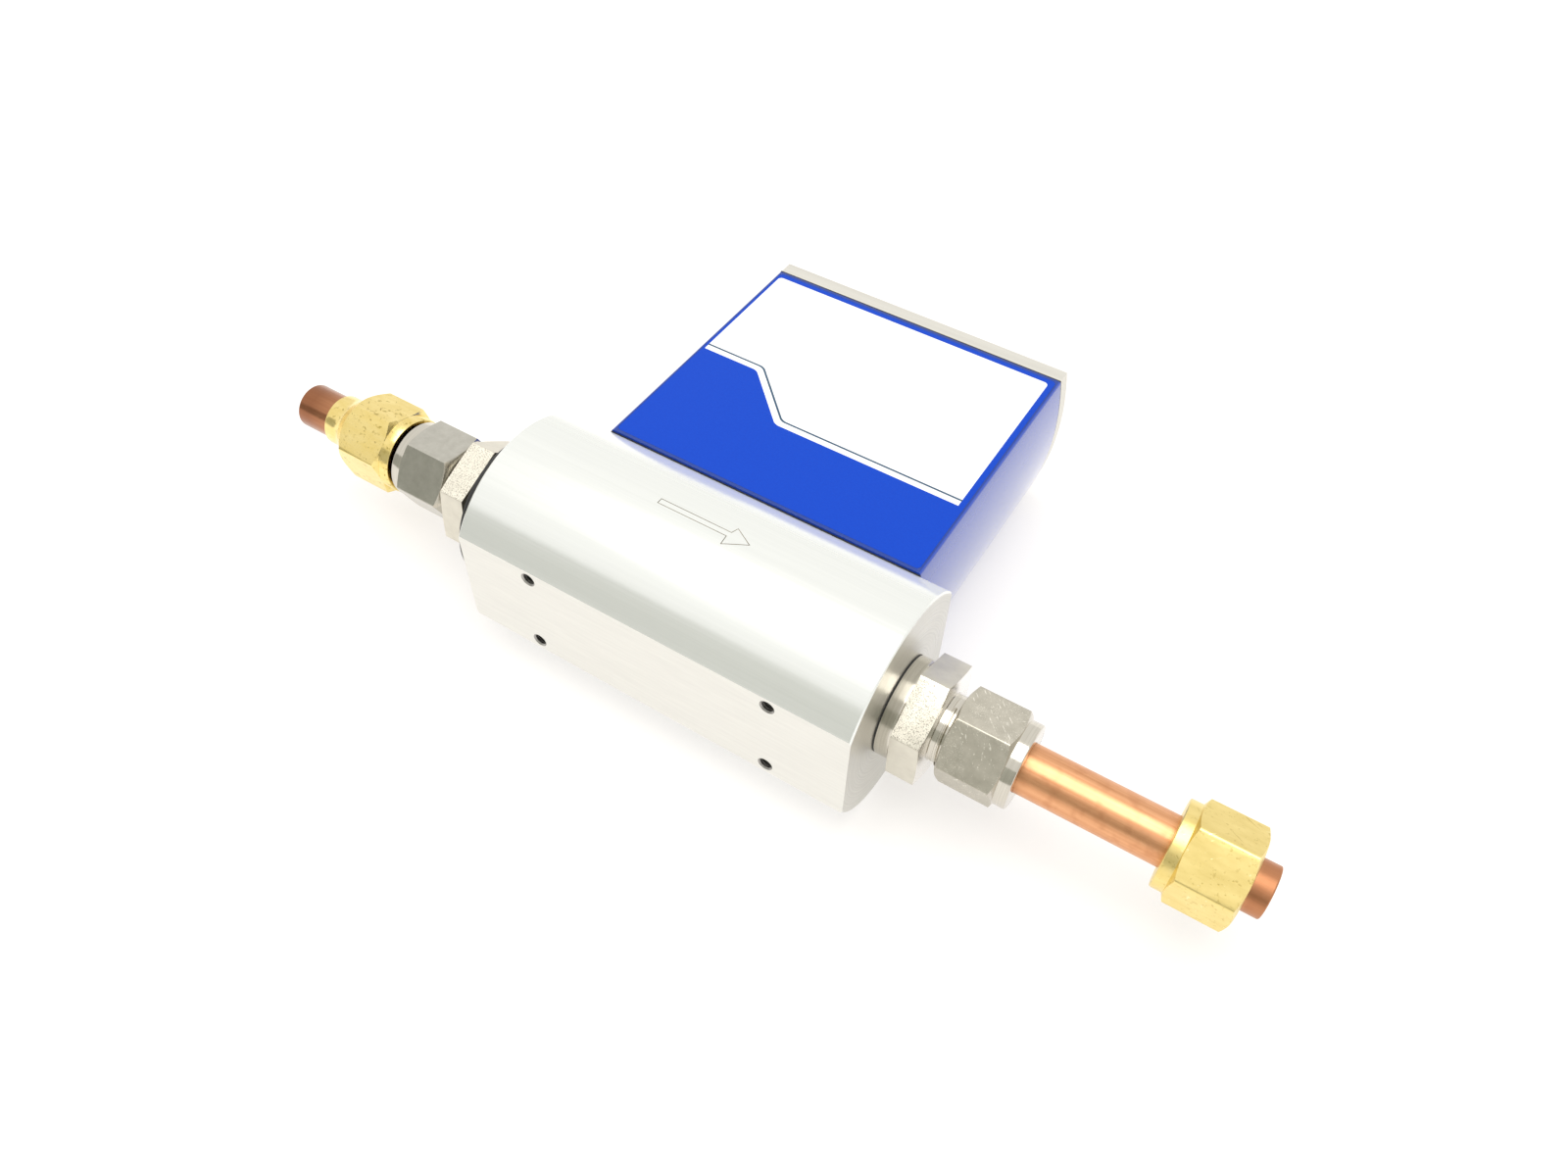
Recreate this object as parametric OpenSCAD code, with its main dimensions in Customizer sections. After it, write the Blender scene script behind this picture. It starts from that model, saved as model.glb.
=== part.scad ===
// Thermal mass flow meter for gas, lying on its back as it is set down on a table.
// X runs along the flow, Y from the mounting face towards the top cover, Z out of the labelled face.
// The origin is the middle of the four mounting holes, on the mounting face.

/* [Flow body] */
// Length of the aluminium block along the flow
body_length = 112.3; // [100:0.1:150]
// Radius of the block's round flanks
body_radius = 29.4; // [28:0.1:34]
// Height of the flow axis above the mounting face
axis_height = 25.3; // [24:0.1:27]
// How far the housing seat lies below the crest of the round flanks
seat_drop = 6.5; // [5.5:0.1:8]
// Bevel around the block's round ends
body_bevel = 0.4; // [0.2:0.1:1.5]
// Radius of the flow channel
channel_radius = 8; // [6:0.1:9]
// Distance between mounting holes along the flow
mount_spacing_x = 69; // [60:0.5:76]
// Distance between mounting holes across the flow
mount_spacing_z = 24; // [18:0.5:24]
// Core radius of a threaded mounting hole
mount_hole_radius = 1.65; // [1.2:0.05:2.2]
// Depth of a mounting hole
mount_hole_depth = 8; // [5:0.5:9]
// Width of the countersink at a mounting hole's mouth
mount_hole_sink = 0.4; // [0.2:0.1:0.8]

/* [Inlet screens] */
// Radius of the wide inlet port that holds the screens
wide_port_radius = 14.5; // [13.8:0.1:15]
// Depth of the wide inlet port
wide_port_depth = 18.5; // [17:0.1:19]
// Thickness of one flow screen
screen_thickness = 0.5; // [0.3:0.1:0.8]
// Number of flow screens
screen_count = 3; // [2:1:4]
// Width of the ring between two screens
spacer_length = 1.5; // [1:0.1:1.8]
// Radial width of a spacer ring
spacer_rim = 3; // [2:0.1:5]
// Radius of one screen hole
screen_hole_radius = 1.5; // [1:0.1:2]
// Distance between neighbouring screen holes
screen_pitch = 4.4; // [4.2:0.1:4.8]

/* [Inlet adapter] */
// Length of the black adapter outside the block
adapter_length = 7; // [5:0.05:14]
// Radius of the black adapter
adapter_radius = 21; // [16.8:0.1:23.4]
// Thickness of the flat seal under the inlet collar
inlet_seal_thickness = 0.35; // [0.3:0.05:0.8]

/* [Tube fittings] */
// Outer radius of the copper tube
tube_radius = 6.35; // [5.8:0.05:6.6]
// Wall of the copper tube
tube_wall = 1; // [0.8:0.05:1.2]
// Radius of the bore through a fitting
fitting_bore_radius = 5.15; // [4:0.05:5.15]
// Radius of the thread that screws into the block
shank_radius = 10.3; // [9.6:0.05:10.8]
// Length of the thread that screws into the block
shank_length = 12.5; // [10:0.1:14]
// Radius of the round collar against the block
collar_radius = 13; // [12:0.1:13.4]
// Length of the round collar against the block
collar_length = 4; // [3.2:0.1:6]
// Width across flats of the fitting's hexagon
fitting_flats = 27.3; // [27:0.1:30]
// Length of the fitting's hexagon
fitting_hex_length = 8.1; // [6:0.1:12]
// Bare neck between the fitting's hexagon and the nut
neck_gap = 2.7; // [2:0.05:8]
// Radius of the nut thread on the fitting
nut_thread_radius = 9.45; // [9.1:0.05:9.6]
// Radius of the relief groove beside the fitting's hexagon
relief_radius = 8.7; // [8:0.1:9]
// Length of the relief groove
relief_length = 1.3; // [0.8:0.1:2.5]
// Thickness of the flat seal under the outlet collar
outlet_seal_thickness = 0.35; // [0.3:0.05:0.8]

/* [Nuts] */
// Width across flats of a compression nut
nut_flats = 22.2; // [21.6:0.1:24]
// Length of a compression nut's hexagon
nut_hex_length = 14.9; // [12.5:0.1:18]
// Length of the round shoulder behind the hexagon
nut_shoulder_length = 3; // [2.6:0.1:6]
// Radius of the round shoulder
nut_shoulder_radius = 10.8; // [9.5:0.1:11]
// Wall left between the ferrule chamber and the nut's thread
chamber_step = 0.9; // [0.6:0.05:1]
// Length of the front ferrule
front_ferrule_length = 4.6; // [4:0.1:5]
// Length of the back ferrule
back_ferrule_length = 2.8; // [2.2:0.1:3.2]
// Turn of the outlet fitting's hexagon in degrees
outlet_fitting_angle = 2.9; // [0:0.1:60]
// Turn of the inlet fitting's hexagon in degrees
inlet_fitting_angle = 6.9; // [0:0.1:60]
// Turn of the outlet steel nut in degrees
outlet_nut_angle = 20.1; // [0:0.1:60]
// Turn of the inlet steel nut in degrees
inlet_nut_angle = 35.1; // [0:0.1:60]
// Turn of the outlet brass nut in degrees
outlet_brass_angle = 52.4; // [0:0.1:60]
// Turn of the inlet flare nut in degrees
inlet_brass_angle = 48.6; // [0:0.1:60]

/* [Tubes and brass nuts] */
// Length of outlet tube outside the steel nut
outlet_reach = 57.85; // [50:0.05:90]
// Length of inlet tube outside the steel nut
inlet_reach = 39.85; // [36:0.05:70]
// Tube left bare beyond the outlet brass nut
outlet_stub = 4.95; // [4:0.05:12]
// Space between the inlet steel nut and the flare nut's mouth
flare_gap = 1.2; // [1:0.1:6]
// Radius of the flare nut at its mouth
flare_rim_radius = 10.9; // [10.6:0.1:11.1]
// Length of the turned rim at the flare nut's mouth
flare_rim_length = 4.4; // [1.5:0.1:6]
// Length of the flare nut's hexagon
flare_hex_length = 12.6; // [10:0.1:16]
// Length of the flare nut's tapering neck
flare_neck_length = 10.5; // [8:0.1:12]
// Radius of the neck where it leaves the hexagon
flare_neck_radius = 10.9; // [10:0.1:11]
// Radius at the tip of the neck
flare_tip_radius = 7.3; // [7.1:0.1:8]
// Depth of the flare nut's thread
flare_thread_length = 11; // [8:0.1:12]

/* [Housing] */
// Distance of the housing's middle from the block's middle
housing_shift = 1.15; // [0:0.05:3]
// Width of the housing's flat front
housing_width = 92.2; // [86:0.1:104]
// Thickness of the housing from front to back
housing_depth = 38.4; // [37:0.1:44]
// Height of the blue housing
housing_height = 84.15; // [78:0.05:110]
// How far the rounded sides bulge out
side_bulge = 2; // [1:0.1:4]
// Wall of the housing
housing_wall = 2.4; // [2:0.1:3]
// Radius of the housing's upright edges
edge_radius = 0.9; // [0.5:0.1:2]
// Thickness of the front foil
label_thickness = 0.3; // [0.2:0.05:0.6]
// Margin of the foil from the front's edges
label_margin = 0.9; // [0.5:0.1:3]
// Corner radius of the foil
label_corner = 1.2; // [0.5:0.1:3]
// Thickness of the gasket below the housing
base_gasket_thickness = 0.5; // [0.3:0.05:1]
// Thickness of the gasket below the top cover
cover_gasket_thickness = 0.4; // [0.3:0.05:1]
// Thickness of the top cover
cover_thickness = 4.7; // [4:0.1:7]
// How far the top cover stands back from the housing's edge
cover_inset = 0.25; // [0.1:0.05:0.8]
// Thickness of the base plate inside the housing
base_plate_thickness = 6; // [5:0.1:8]

/* [Screws] */
// Radius of a long cover screw
cover_screw_radius = 1.5; // [1.2:0.05:1.7]
// Head radius of a cover screw
cover_head_radius = 2.9; // [2.4:0.1:3.2]
// Distance of a cover screw from the housing's front and sides
post_inset = 5; // [4.8:0.1:5.6]
// Radius of a base screw
base_screw_radius = 2; // [1.6:0.05:2.2]
// Head radius of a base screw
base_head_radius = 3.5; // [3:0.1:4]
// Head height of a base screw
base_head_height = 3.6; // [2.6:0.1:4]
// Depth of a base screw in the block
base_screw_bite = 8; // [6:0.1:9]
// Distance between base screws along the flow
base_spacing_x = 58; // [50:0.5:60]
// Distance between base screws across the flow
base_spacing_z = 18; // [14:0.5:20]

/* [Sensor] */
// Radius of the sensor plug
plug_radius = 9; // [8:0.1:10]
// Radius of the sensor plug's flange
flange_radius = 11.6; // [11:0.1:12]
// Thickness of the sensor plug's flange
flange_thickness = 4; // [3:0.1:5]
// Radius of the sensor's neck
sensor_neck_radius = 5; // [4.2:0.1:6]
// How far the neck stands above the base plate
sensor_neck_rise = 3; // [2:0.1:5]
// Radius of one probe
probe_radius = 1; // [0.8:0.05:1.3]
// Distance between the two probes
probe_spacing = 8; // [6:0.1:10]
// How far the probes reach past the flow axis
probe_overreach = 2; // [0:0.1:3]
// Section radius of the sensor seal
seal_section = 0.9; // [0.7:0.05:1.1]

/* [Electronics] */
// Thickness of the circuit board
board_thickness = 1.6; // [1.2:0.1:2]
// Room above the circuit board for the connector and the switch
board_head_room = 12.65; // [11:0.05:20]
// Space from base plate to board
board_lift = 7.5; // [6.5:0.1:9]
// Depth of the side ribs that hold the board
rib_depth = 2; // [1.5:0.1:2.6]
// Thickness of one side rib
rib_thickness = 1.2; // [1:0.1:2]
// Width of the largest chip
chip_size = 11.6; // [8:0.1:14]
// Radius of one capacitor
can_radius = 3.6; // [2.5:0.1:4]

/* [Connector] */
// Position of the connector left of the housing's middle
connector_offset = 20; // [16:0.5:24]
// Radius of the connector's flange
connector_flange_radius = 9; // [8.8:0.1:10]
// Thickness of the connector's flange
connector_flange_thickness = 1.6; // [1:0.1:2.5]
// Radius of the connector's threaded barrel
connector_radius = 7.9; // [7.6:0.05:8.2]
// Height of the connector above the cover
connector_height = 10.2; // [9.5:0.1:12]
// Wall of the connector's barrel
connector_wall = 1.2; // [1:0.1:1.6]
// Length of the connector below the cover
connector_depth = 5; // [4.4:0.1:7]
// Width across flats of the connector's lock nut
lock_nut_flats = 19; // [18:0.5:22]
// Thickness of the lock nut
lock_nut_thickness = 2.2; // [1.6:0.1:3]
// Number of contact pins
pin_count = 7; // [4:1:9]
// Radius of a contact pin
pin_radius = 0.5; // [0.4:0.05:0.7]
// Radius of the ring of contact pins
pin_ring_radius = 4; // [3.2:0.1:4.4]
// How far the pins stand out of the insert
pin_reach = 3.4; // [2.5:0.1:4]

/* [Button and lights] */
// Position of the push button right of the housing's middle
button_offset = 18; // [14:0.5:20]
// Radius of the push button
button_radius = 2.8; // [2.2:0.1:3.2]
// Height of the push button above the cover
button_height = 1; // [0.8:0.1:2]
// Travel of the push button
button_travel = 0.5; // [0.3:0.1:0.8]
// Position of the first light right of the housing's middle
light_offset = 26; // [25:0.5:28]
// Distance between the two lights
light_spacing = 5; // [4:0.5:6]
// Radius of a light guide
light_radius = 1.4; // [1:0.1:1.8]

/* [Hidden] */

// Clearance between pieces that are assembled by hand
clearance = 0.1;
// Radial clearance of pieces that run on a tube
running = 0.06;
// Space left where a moving piece stops short of its neighbour
stop_gap = 0.3;
// How far a cut runs past the surface
overrun = 1;
// Smoothness of round pieces
$fn = 96;
// Part of the flare nut's rim that stays round before the corners rise
rim_round_share = 0.7;
// Cones that make up the curve of the flare nut's neck
neck_steps = 5;
// Size of a screw's socket within its head
socket_share = 0.55;
// Each chip's place across, place up and size
chip_shares = [[0.1, 0.55, 1], [0.45, 0.35, 0.7], [0.5, 0.7, 0.5], [-0.25, 0.35, 0.5]];
// The capacitors' first place across, place up, spacing and height
can_shares = [-0.75, 0.75, 2.6, 2.2];

body_end = body_length / 2;
seat_height = axis_height + body_radius - seat_drop;
outlet_hex_x = body_end + outlet_seal_thickness + collar_length;
adapter_face = body_end + adapter_length;
inlet_hex_x = adapter_face + inlet_seal_thickness + collar_length;
nut_length = nut_hex_length + nut_shoulder_length;
nut_mouth = fitting_hex_length + neck_gap;
outlet_nut_end = outlet_hex_x + nut_mouth + nut_length;
inlet_nut_end = inlet_hex_x + nut_mouth + nut_length;
outlet_tube_end = outlet_nut_end + outlet_reach;
inlet_tube_end = inlet_nut_end + inlet_reach;
outlet_brass_mouth = outlet_tube_end - outlet_stub;
flare_mouth = inlet_nut_end + flare_gap;

socket_depth = fitting_hex_length - tube_wall;
thread_end = nut_mouth + nut_hex_length - front_ferrule_length / 2 - back_ferrule_length - tube_wall;
nut_hole_radius = tube_radius + clearance;
ferrule_bore = tube_radius + running;
chamber_radius = nut_thread_radius - chamber_step;
ferrule_radius = chamber_radius - stop_gap;
ferrule_tip_radius = ferrule_bore + tube_wall / 4;
hex_bevel = nut_hex_length / 15;

// Distance from a nut's mouth to the floor of its ferrule chamber
chamber_floor = nut_hex_length;
back_ferrule_start = chamber_floor - stop_gap - back_ferrule_length;
front_ferrule_start = back_ferrule_start - front_ferrule_length;

housing_base_y = seat_height + base_gasket_thickness;
housing_top_y = housing_base_y + housing_height;
cover_base_y = housing_top_y + cover_gasket_thickness;
cover_top_y = cover_base_y + cover_thickness;
half_width = housing_width / 2;
half_depth = housing_depth / 2;
side_radius = (half_depth * half_depth + side_bulge * side_bulge) / (2 * side_bulge);
side_centre = half_width + side_bulge - side_radius;
channel_post_radius = cover_screw_radius + housing_wall;
post_x = half_width - post_inset;
post_z = half_depth - post_inset;
plate_top_y = housing_base_y + base_plate_thickness;
board_base_y = plate_top_y + board_lift;
board_top_y = housing_top_y - board_head_room;
board_height = board_top_y - board_base_y;
board_half_width = half_width + side_bulge - housing_wall - clearance * 3;
insert_top_y = cover_top_y - connector_flange_thickness / 2;
connector_x = housing_shift - connector_offset;
connector_root_radius = connector_radius - connector_wall / 3;
connector_bore_radius = connector_radius - connector_wall;
screen_radius = wide_port_radius - clearance;
plug_floor = axis_height + channel_radius;
switch_size = button_radius * 2;
switch_height = switch_size / 2;
switch_top_y = board_top_y + switch_height;

// Turns a shape drawn about Z so that it lies along the flow axis, with its Z towards the outlet
module along_outlet(start) {
    translate([start, axis_height, 0])
        rotate([0, 90, 0])
            children();
}

// The same towards the inlet
module along_inlet(start) {
    translate([-start, axis_height, 0])
        rotate([0, -90, 0])
            children();
}

// Lays a shape drawn about Z along Y, with its Z towards the top cover
module upright(x, y, z) {
    translate([x, y, z])
        rotate([-90, 0, 0])
            children();
}

module ring(outer, inner, length) {
    difference() {
        cylinder(r = outer, h = length);
        translate([0, 0, -overrun])
            cylinder(r = inner, h = length + 2 * overrun);
    }
}

// A hexagon whose corners are turned down at the chosen ends
module hex_prism(flats, length, turn, bevel, low_end, high_end) {
    corner = flats / sqrt(3);
    face = flats / 2 - bevel / 4;
    low = low_end ? bevel : 0;
    high = high_end ? bevel : 0;
    intersection() {
        rotate([0, 0, turn])
            cylinder(r = corner, h = length, $fn = 6);
        rotate_extrude()
            polygon([
                [0, 0],
                [low_end ? face : corner + overrun, 0],
                [corner + overrun, low * (corner + overrun - face) / (corner - face)],
                [corner + overrun, length - high * (corner + overrun - face) / (corner - face)],
                [high_end ? face : corner + overrun, length],
                [0, length]
            ]);
    }
}

// Fitting drawn from its hexagon's inner face outwards
module tube_fitting(turn) {
    difference() {
        union() {
            translate([0, 0, -collar_length - shank_length])
                cylinder(r = shank_radius, h = shank_length + overrun);
            translate([0, 0, -collar_length])
                cylinder(r = collar_radius, h = collar_length);
            hex_prism(fitting_flats, fitting_hex_length, turn, hex_bevel, false, true);
            translate([0, 0, fitting_hex_length - overrun])
                cylinder(r = relief_radius, h = relief_length + 2 * overrun);
            translate([0, 0, fitting_hex_length + relief_length])
                rotate_extrude()
                    polygon([
                        [0, 0],
                        [relief_radius, 0],
                        [nut_thread_radius - clearance, nut_thread_radius - relief_radius],
                        [nut_thread_radius - clearance, thread_end - fitting_hex_length - relief_length],
                        [0, thread_end - fitting_hex_length - relief_length]
                    ]);
        }
        translate([0, 0, -collar_length - shank_length - overrun])
            cylinder(r = fitting_bore_radius, h = shank_length + collar_length + thread_end + 2 * overrun);
        translate([0, 0, socket_depth])
            cylinder(r = tube_radius + clearance, h = thread_end);
        ferrule_mouth();
    }
}

// Cone in the fitting's mouth that the front ferrule wedges into
module ferrule_mouth() {
    tip = nut_mouth + front_ferrule_start;
    translate([0, 0, tip])
        cylinder(r1 = ferrule_tip_radius + clearance, r2 = ferrule_radius + clearance,
            h = front_ferrule_length - tube_wall);
    translate([0, 0, tip + front_ferrule_length - tube_wall])
        cylinder(r = ferrule_radius + clearance, h = thread_end);
}

// Front ferrule drawn from its tip
module front_ferrule() {
    rotate_extrude()
        polygon([
            [ferrule_bore, 0],
            [ferrule_tip_radius, 0],
            [ferrule_radius, front_ferrule_length - tube_wall],
            [ferrule_radius, front_ferrule_length],
            [ferrule_bore + tube_wall / 2, front_ferrule_length],
            [ferrule_bore, front_ferrule_length - tube_wall / 2]
        ]);
}

// Back ferrule drawn from its nose, which sits in the front ferrule's heel
module back_ferrule() {
    rotate_extrude()
        polygon([
            [ferrule_bore, -tube_wall / 2],
            [ferrule_bore + tube_wall / 2, 0],
            [ferrule_bore + tube_wall, back_ferrule_length / 3],
            [ferrule_radius, back_ferrule_length / 2],
            [ferrule_radius, back_ferrule_length],
            [ferrule_bore, back_ferrule_length]
        ]);
}

// Compression nut drawn from its threaded mouth
module compression_nut(turn) {
    difference() {
        union() {
            hex_prism(nut_flats, nut_hex_length, turn, hex_bevel, true, true);
            translate([0, 0, nut_hex_length - overrun])
                rotate_extrude()
                    polygon([
                        [0, 0],
                        [nut_shoulder_radius, 0],
                        [nut_shoulder_radius, nut_shoulder_length + overrun - body_bevel],
                        [nut_shoulder_radius - body_bevel, nut_shoulder_length + overrun],
                        [0, nut_shoulder_length + overrun]
                    ]);
        }
        translate([0, 0, -overrun])
            cylinder(r = nut_hole_radius, h = nut_length + 2 * overrun);
        rotate_extrude()
            polygon([
                [0, -overrun],
                [nut_thread_radius + clearance + overrun, -overrun],
                [nut_thread_radius + clearance, body_bevel],
                [nut_thread_radius + clearance, front_ferrule_start + front_ferrule_length / 2],
                [chamber_radius, front_ferrule_start + front_ferrule_length / 2 + chamber_step],
                [chamber_radius, chamber_floor],
                [0, chamber_floor]
            ]);
    }
}

// Flare nut drawn from its threaded mouth to the tip of its neck
module flare_nut(turn) {
    hex_end = flare_rim_length + flare_hex_length;
    neck_start = hex_end + hex_bevel;
    total = hex_end + flare_neck_length;
    curve_length = (total - neck_start) * 2 / 3;
    corner = nut_flats / sqrt(3);
    sweep = flare_neck_radius - flare_tip_radius;
    bore = nut_thread_radius + clearance;
    seat_end = flare_thread_length + bore - nut_hole_radius;
    difference() {
        intersection() {
            rotate([0, 0, turn])
                cylinder(r = corner, h = total + overrun, $fn = 6);
            rotate_extrude()
                polygon([
                    [0, 0],
                    [flare_rim_radius, 0],
                    [nut_flats / 2, flare_rim_length * rim_round_share],
                    [corner + overrun, flare_rim_length + overrun * flare_rim_length / corner],
                    [corner + overrun, hex_end - hex_bevel - overrun],
                    [flare_neck_radius, neck_start],
                    for (i = [1 : neck_steps - 1])
                        [
                            flare_neck_radius - sweep * sin(90 * i / neck_steps),
                            neck_start + curve_length * i / neck_steps
                        ],
                    [flare_tip_radius, neck_start + curve_length],
                    [flare_tip_radius, total - body_bevel],
                    [flare_tip_radius - body_bevel / 2, total],
                    [0, total]
                ]);
        }
        translate([0, 0, -overrun])
            cylinder(r = nut_hole_radius, h = total + 2 * overrun);
        rotate_extrude()
            polygon([
                [0, -overrun],
                [bore + overrun + body_bevel, -overrun],
                [bore, body_bevel],
                [bore, flare_thread_length],
                [nut_hole_radius - overrun, seat_end + overrun],
                [0, seat_end + overrun]
            ]);
    }
}

// Copper tube with softly rounded mouth, drawn from its inner end
module copper_tube(length) {
    difference() {
        rotate_extrude()
            polygon([
                [0, 0],
                [tube_radius, 0],
                [tube_radius, length - tube_wall / 2],
                [tube_radius - tube_wall / 8, length - tube_wall / 5],
                [tube_radius - tube_wall / 3, length],
                [0, length]
            ]);
        translate([0, 0, -overrun])
            cylinder(r = tube_radius - tube_wall, h = length + 2 * overrun);
    }
}

// Section of the block, drawn in Y and Z
module block_outline() {
    intersection() {
        translate([axis_height, 0])
            circle(r = body_radius, $fn = 180);
        translate([0, -body_radius])
            square([seat_height, 2 * body_radius]);
    }
}

module mounting_hole() {
    upright(0, -overrun, 0)
        cylinder(r = mount_hole_radius, h = mount_hole_depth + overrun);
    upright(0, -overrun, 0)
        cylinder(r1 = mount_hole_radius + mount_hole_sink + overrun, r2 = mount_hole_radius,
            h = mount_hole_sink + overrun);
}

module flow_body() {
    color([0.86, 0.87, 0.86])
        difference() {
            intersection() {
                translate([-body_end, 0, 0])
                    rotate([90, 0, 90])
                        linear_extrude(height = body_length)
                            block_outline();
                along_outlet(-body_end)
                    rotate_extrude($fn = 180)
                        polygon([
                            [0, 0],
                            [body_radius - body_bevel, 0],
                            [body_radius + overrun, body_bevel + overrun],
                            [body_radius + overrun, body_length - body_bevel - overrun],
                            [body_radius - body_bevel, body_length],
                            [0, body_length]
                        ]);
            }
            along_outlet(-body_end - overrun)
                cylinder(r = channel_radius, h = body_length + 2 * overrun);
            along_outlet(-body_end - overrun)
                cylinder(r = wide_port_radius, h = wide_port_depth + overrun);
            along_inlet(-body_end - overrun)
                cylinder(r = shank_radius + clearance, h = shank_length + 2 * overrun);
            for (side_x = [-1, 1], side_z = [-1, 1])
                translate([side_x * mount_spacing_x / 2, 0, side_z * mount_spacing_z / 2])
                    mounting_hole();
            at_base_screws(seat_height - base_screw_bite - overrun)
                cylinder(r = base_screw_radius, h = base_screw_bite + 2 * overrun);
            upright(housing_shift, axis_height, 0)
                cylinder(r = plug_radius + clearance, h = seat_height);
            upright(housing_shift, seat_height - flange_thickness, 0)
                cylinder(r = flange_radius + clearance, h = seat_height);
        }
}

// One screen with rings of holes around a middle hole
module flow_screen() {
    difference() {
        cylinder(r = screen_radius, h = screen_thickness);
        translate([0, 0, -overrun])
            for (lap = [0 : 2], step = [0 : max(1, 6 * lap) - 1])
                rotate([0, 0, lap == 0 ? 0 : 60 * step / lap])
                    translate([lap * screen_pitch, 0, 0])
                        cylinder(r = screen_hole_radius, h = screen_thickness + 2 * overrun, $fn = 24);
    }
}

module inlet_screens() {
    color([0.72, 0.72, 0.7])
        for (i = [0 : screen_count - 1])
            along_inlet(body_end - wide_port_depth + i * (screen_thickness + spacer_length))
                flow_screen();
}

module screen_spacers() {
    color([0.62, 0.62, 0.6])
        for (i = [0 : screen_count - 1])
            along_inlet(body_end - wide_port_depth + screen_thickness
                + i * (screen_thickness + spacer_length))
                ring(screen_radius, screen_radius - spacer_rim, spacer_length);
}

// The adapter's thread ends on the last spacer, so the screens are clamped
module inlet_adapter() {
    stack = screen_count * (screen_thickness + spacer_length);
    thread = wide_port_depth - stack;
    seat_x = adapter_face + inlet_seal_thickness;
    color([0.06, 0.06, 0.06])
        difference() {
            union() {
                along_inlet(body_end - thread)
                    cylinder(r = wide_port_radius - clearance, h = thread + overrun);
                along_inlet(body_end)
                    rotate_extrude()
                        polygon([
                            [0, 0],
                            [adapter_radius - body_bevel, 0],
                            [adapter_radius, body_bevel],
                            [adapter_radius, adapter_length - body_bevel],
                            [adapter_radius - body_bevel, adapter_length],
                            [0, adapter_length]
                        ]);
            }
            along_inlet(body_end - thread - overrun)
                cylinder(r = channel_radius, h = wide_port_depth + adapter_length);
            along_inlet(seat_x - shank_length - overrun)
                cylinder(r = shank_radius + clearance, h = shank_length + 2 * overrun);
        }
}

module inlet_seal() {
    color([0.05, 0.05, 0.05])
        along_inlet(adapter_face)
            ring(collar_radius - clearance, shank_radius + clearance, inlet_seal_thickness);
}

module inlet_fitting() {
    color([0.7, 0.68, 0.63])
        along_inlet(inlet_hex_x)
            tube_fitting(inlet_fitting_angle);
}

module inlet_front_ferrule() {
    color([0.75, 0.74, 0.7])
        along_inlet(inlet_hex_x + nut_mouth + front_ferrule_start)
            front_ferrule();
}

module inlet_back_ferrule() {
    color([0.75, 0.74, 0.7])
        along_inlet(inlet_hex_x + nut_mouth + back_ferrule_start)
            back_ferrule();
}

module inlet_nut() {
    color([0.62, 0.61, 0.57])
        along_inlet(inlet_hex_x + nut_mouth)
            compression_nut(inlet_nut_angle);
}

module inlet_tube() {
    color([0.8, 0.47, 0.3])
        along_inlet(inlet_hex_x + socket_depth)
            copper_tube(inlet_tube_end - inlet_hex_x - socket_depth);
}

module inlet_flare_nut() {
    color([0.84, 0.71, 0.36])
        along_inlet(flare_mouth)
            flare_nut(inlet_brass_angle);
}

module outlet_seal() {
    color([0.05, 0.05, 0.05])
        along_outlet(body_end)
            ring(collar_radius - clearance, shank_radius + clearance, outlet_seal_thickness);
}

module outlet_fitting() {
    color([0.7, 0.68, 0.63])
        along_outlet(outlet_hex_x)
            tube_fitting(outlet_fitting_angle);
}

module outlet_front_ferrule() {
    color([0.75, 0.74, 0.7])
        along_outlet(outlet_hex_x + nut_mouth + front_ferrule_start)
            front_ferrule();
}

module outlet_back_ferrule() {
    color([0.75, 0.74, 0.7])
        along_outlet(outlet_hex_x + nut_mouth + back_ferrule_start)
            back_ferrule();
}

module outlet_nut() {
    color([0.62, 0.61, 0.57])
        along_outlet(outlet_hex_x + nut_mouth)
            compression_nut(outlet_nut_angle);
}

module outlet_tube() {
    color([0.86, 0.54, 0.34])
        along_outlet(outlet_hex_x + socket_depth)
            copper_tube(outlet_tube_end - outlet_hex_x - socket_depth);
}

module loose_front_ferrule() {
    color([0.84, 0.71, 0.36])
        along_inlet(front_ferrule_start - outlet_brass_mouth)
            front_ferrule();
}

module loose_back_ferrule() {
    color([0.84, 0.71, 0.36])
        along_inlet(back_ferrule_start - outlet_brass_mouth)
            back_ferrule();
}

module outlet_brass_nut() {
    color([0.84, 0.71, 0.36])
        along_inlet(-outlet_brass_mouth)
            compression_nut(outlet_brass_angle);
}

// Plug from the flow channel up to the neck inside the housing
module sensor_plug() {
    groove_y = seat_height - flange_thickness - 3 * seal_section;
    color([0.66, 0.66, 0.64])
        difference() {
            union() {
                upright(housing_shift, plug_floor, 0)
                    cylinder(r = plug_radius, h = seat_height - plug_floor - overrun);
                upright(housing_shift, seat_height - flange_thickness, 0)
                    cylinder(r = flange_radius, h = flange_thickness);
                upright(housing_shift, seat_height - overrun, 0)
                    cylinder(r = sensor_neck_radius,
                        h = plate_top_y + sensor_neck_rise - seat_height + overrun);
            }
            upright(housing_shift, groove_y - seal_section, 0)
                ring(plug_radius + overrun, plug_radius - 2 * seal_section, 2 * seal_section);
            for (side = [-1, 1])
                upright(housing_shift + side * probe_spacing / 2, plug_floor - overrun, 0)
                    cylinder(r = probe_radius, h = 2 * probe_radius + overrun);
        }
}

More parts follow.
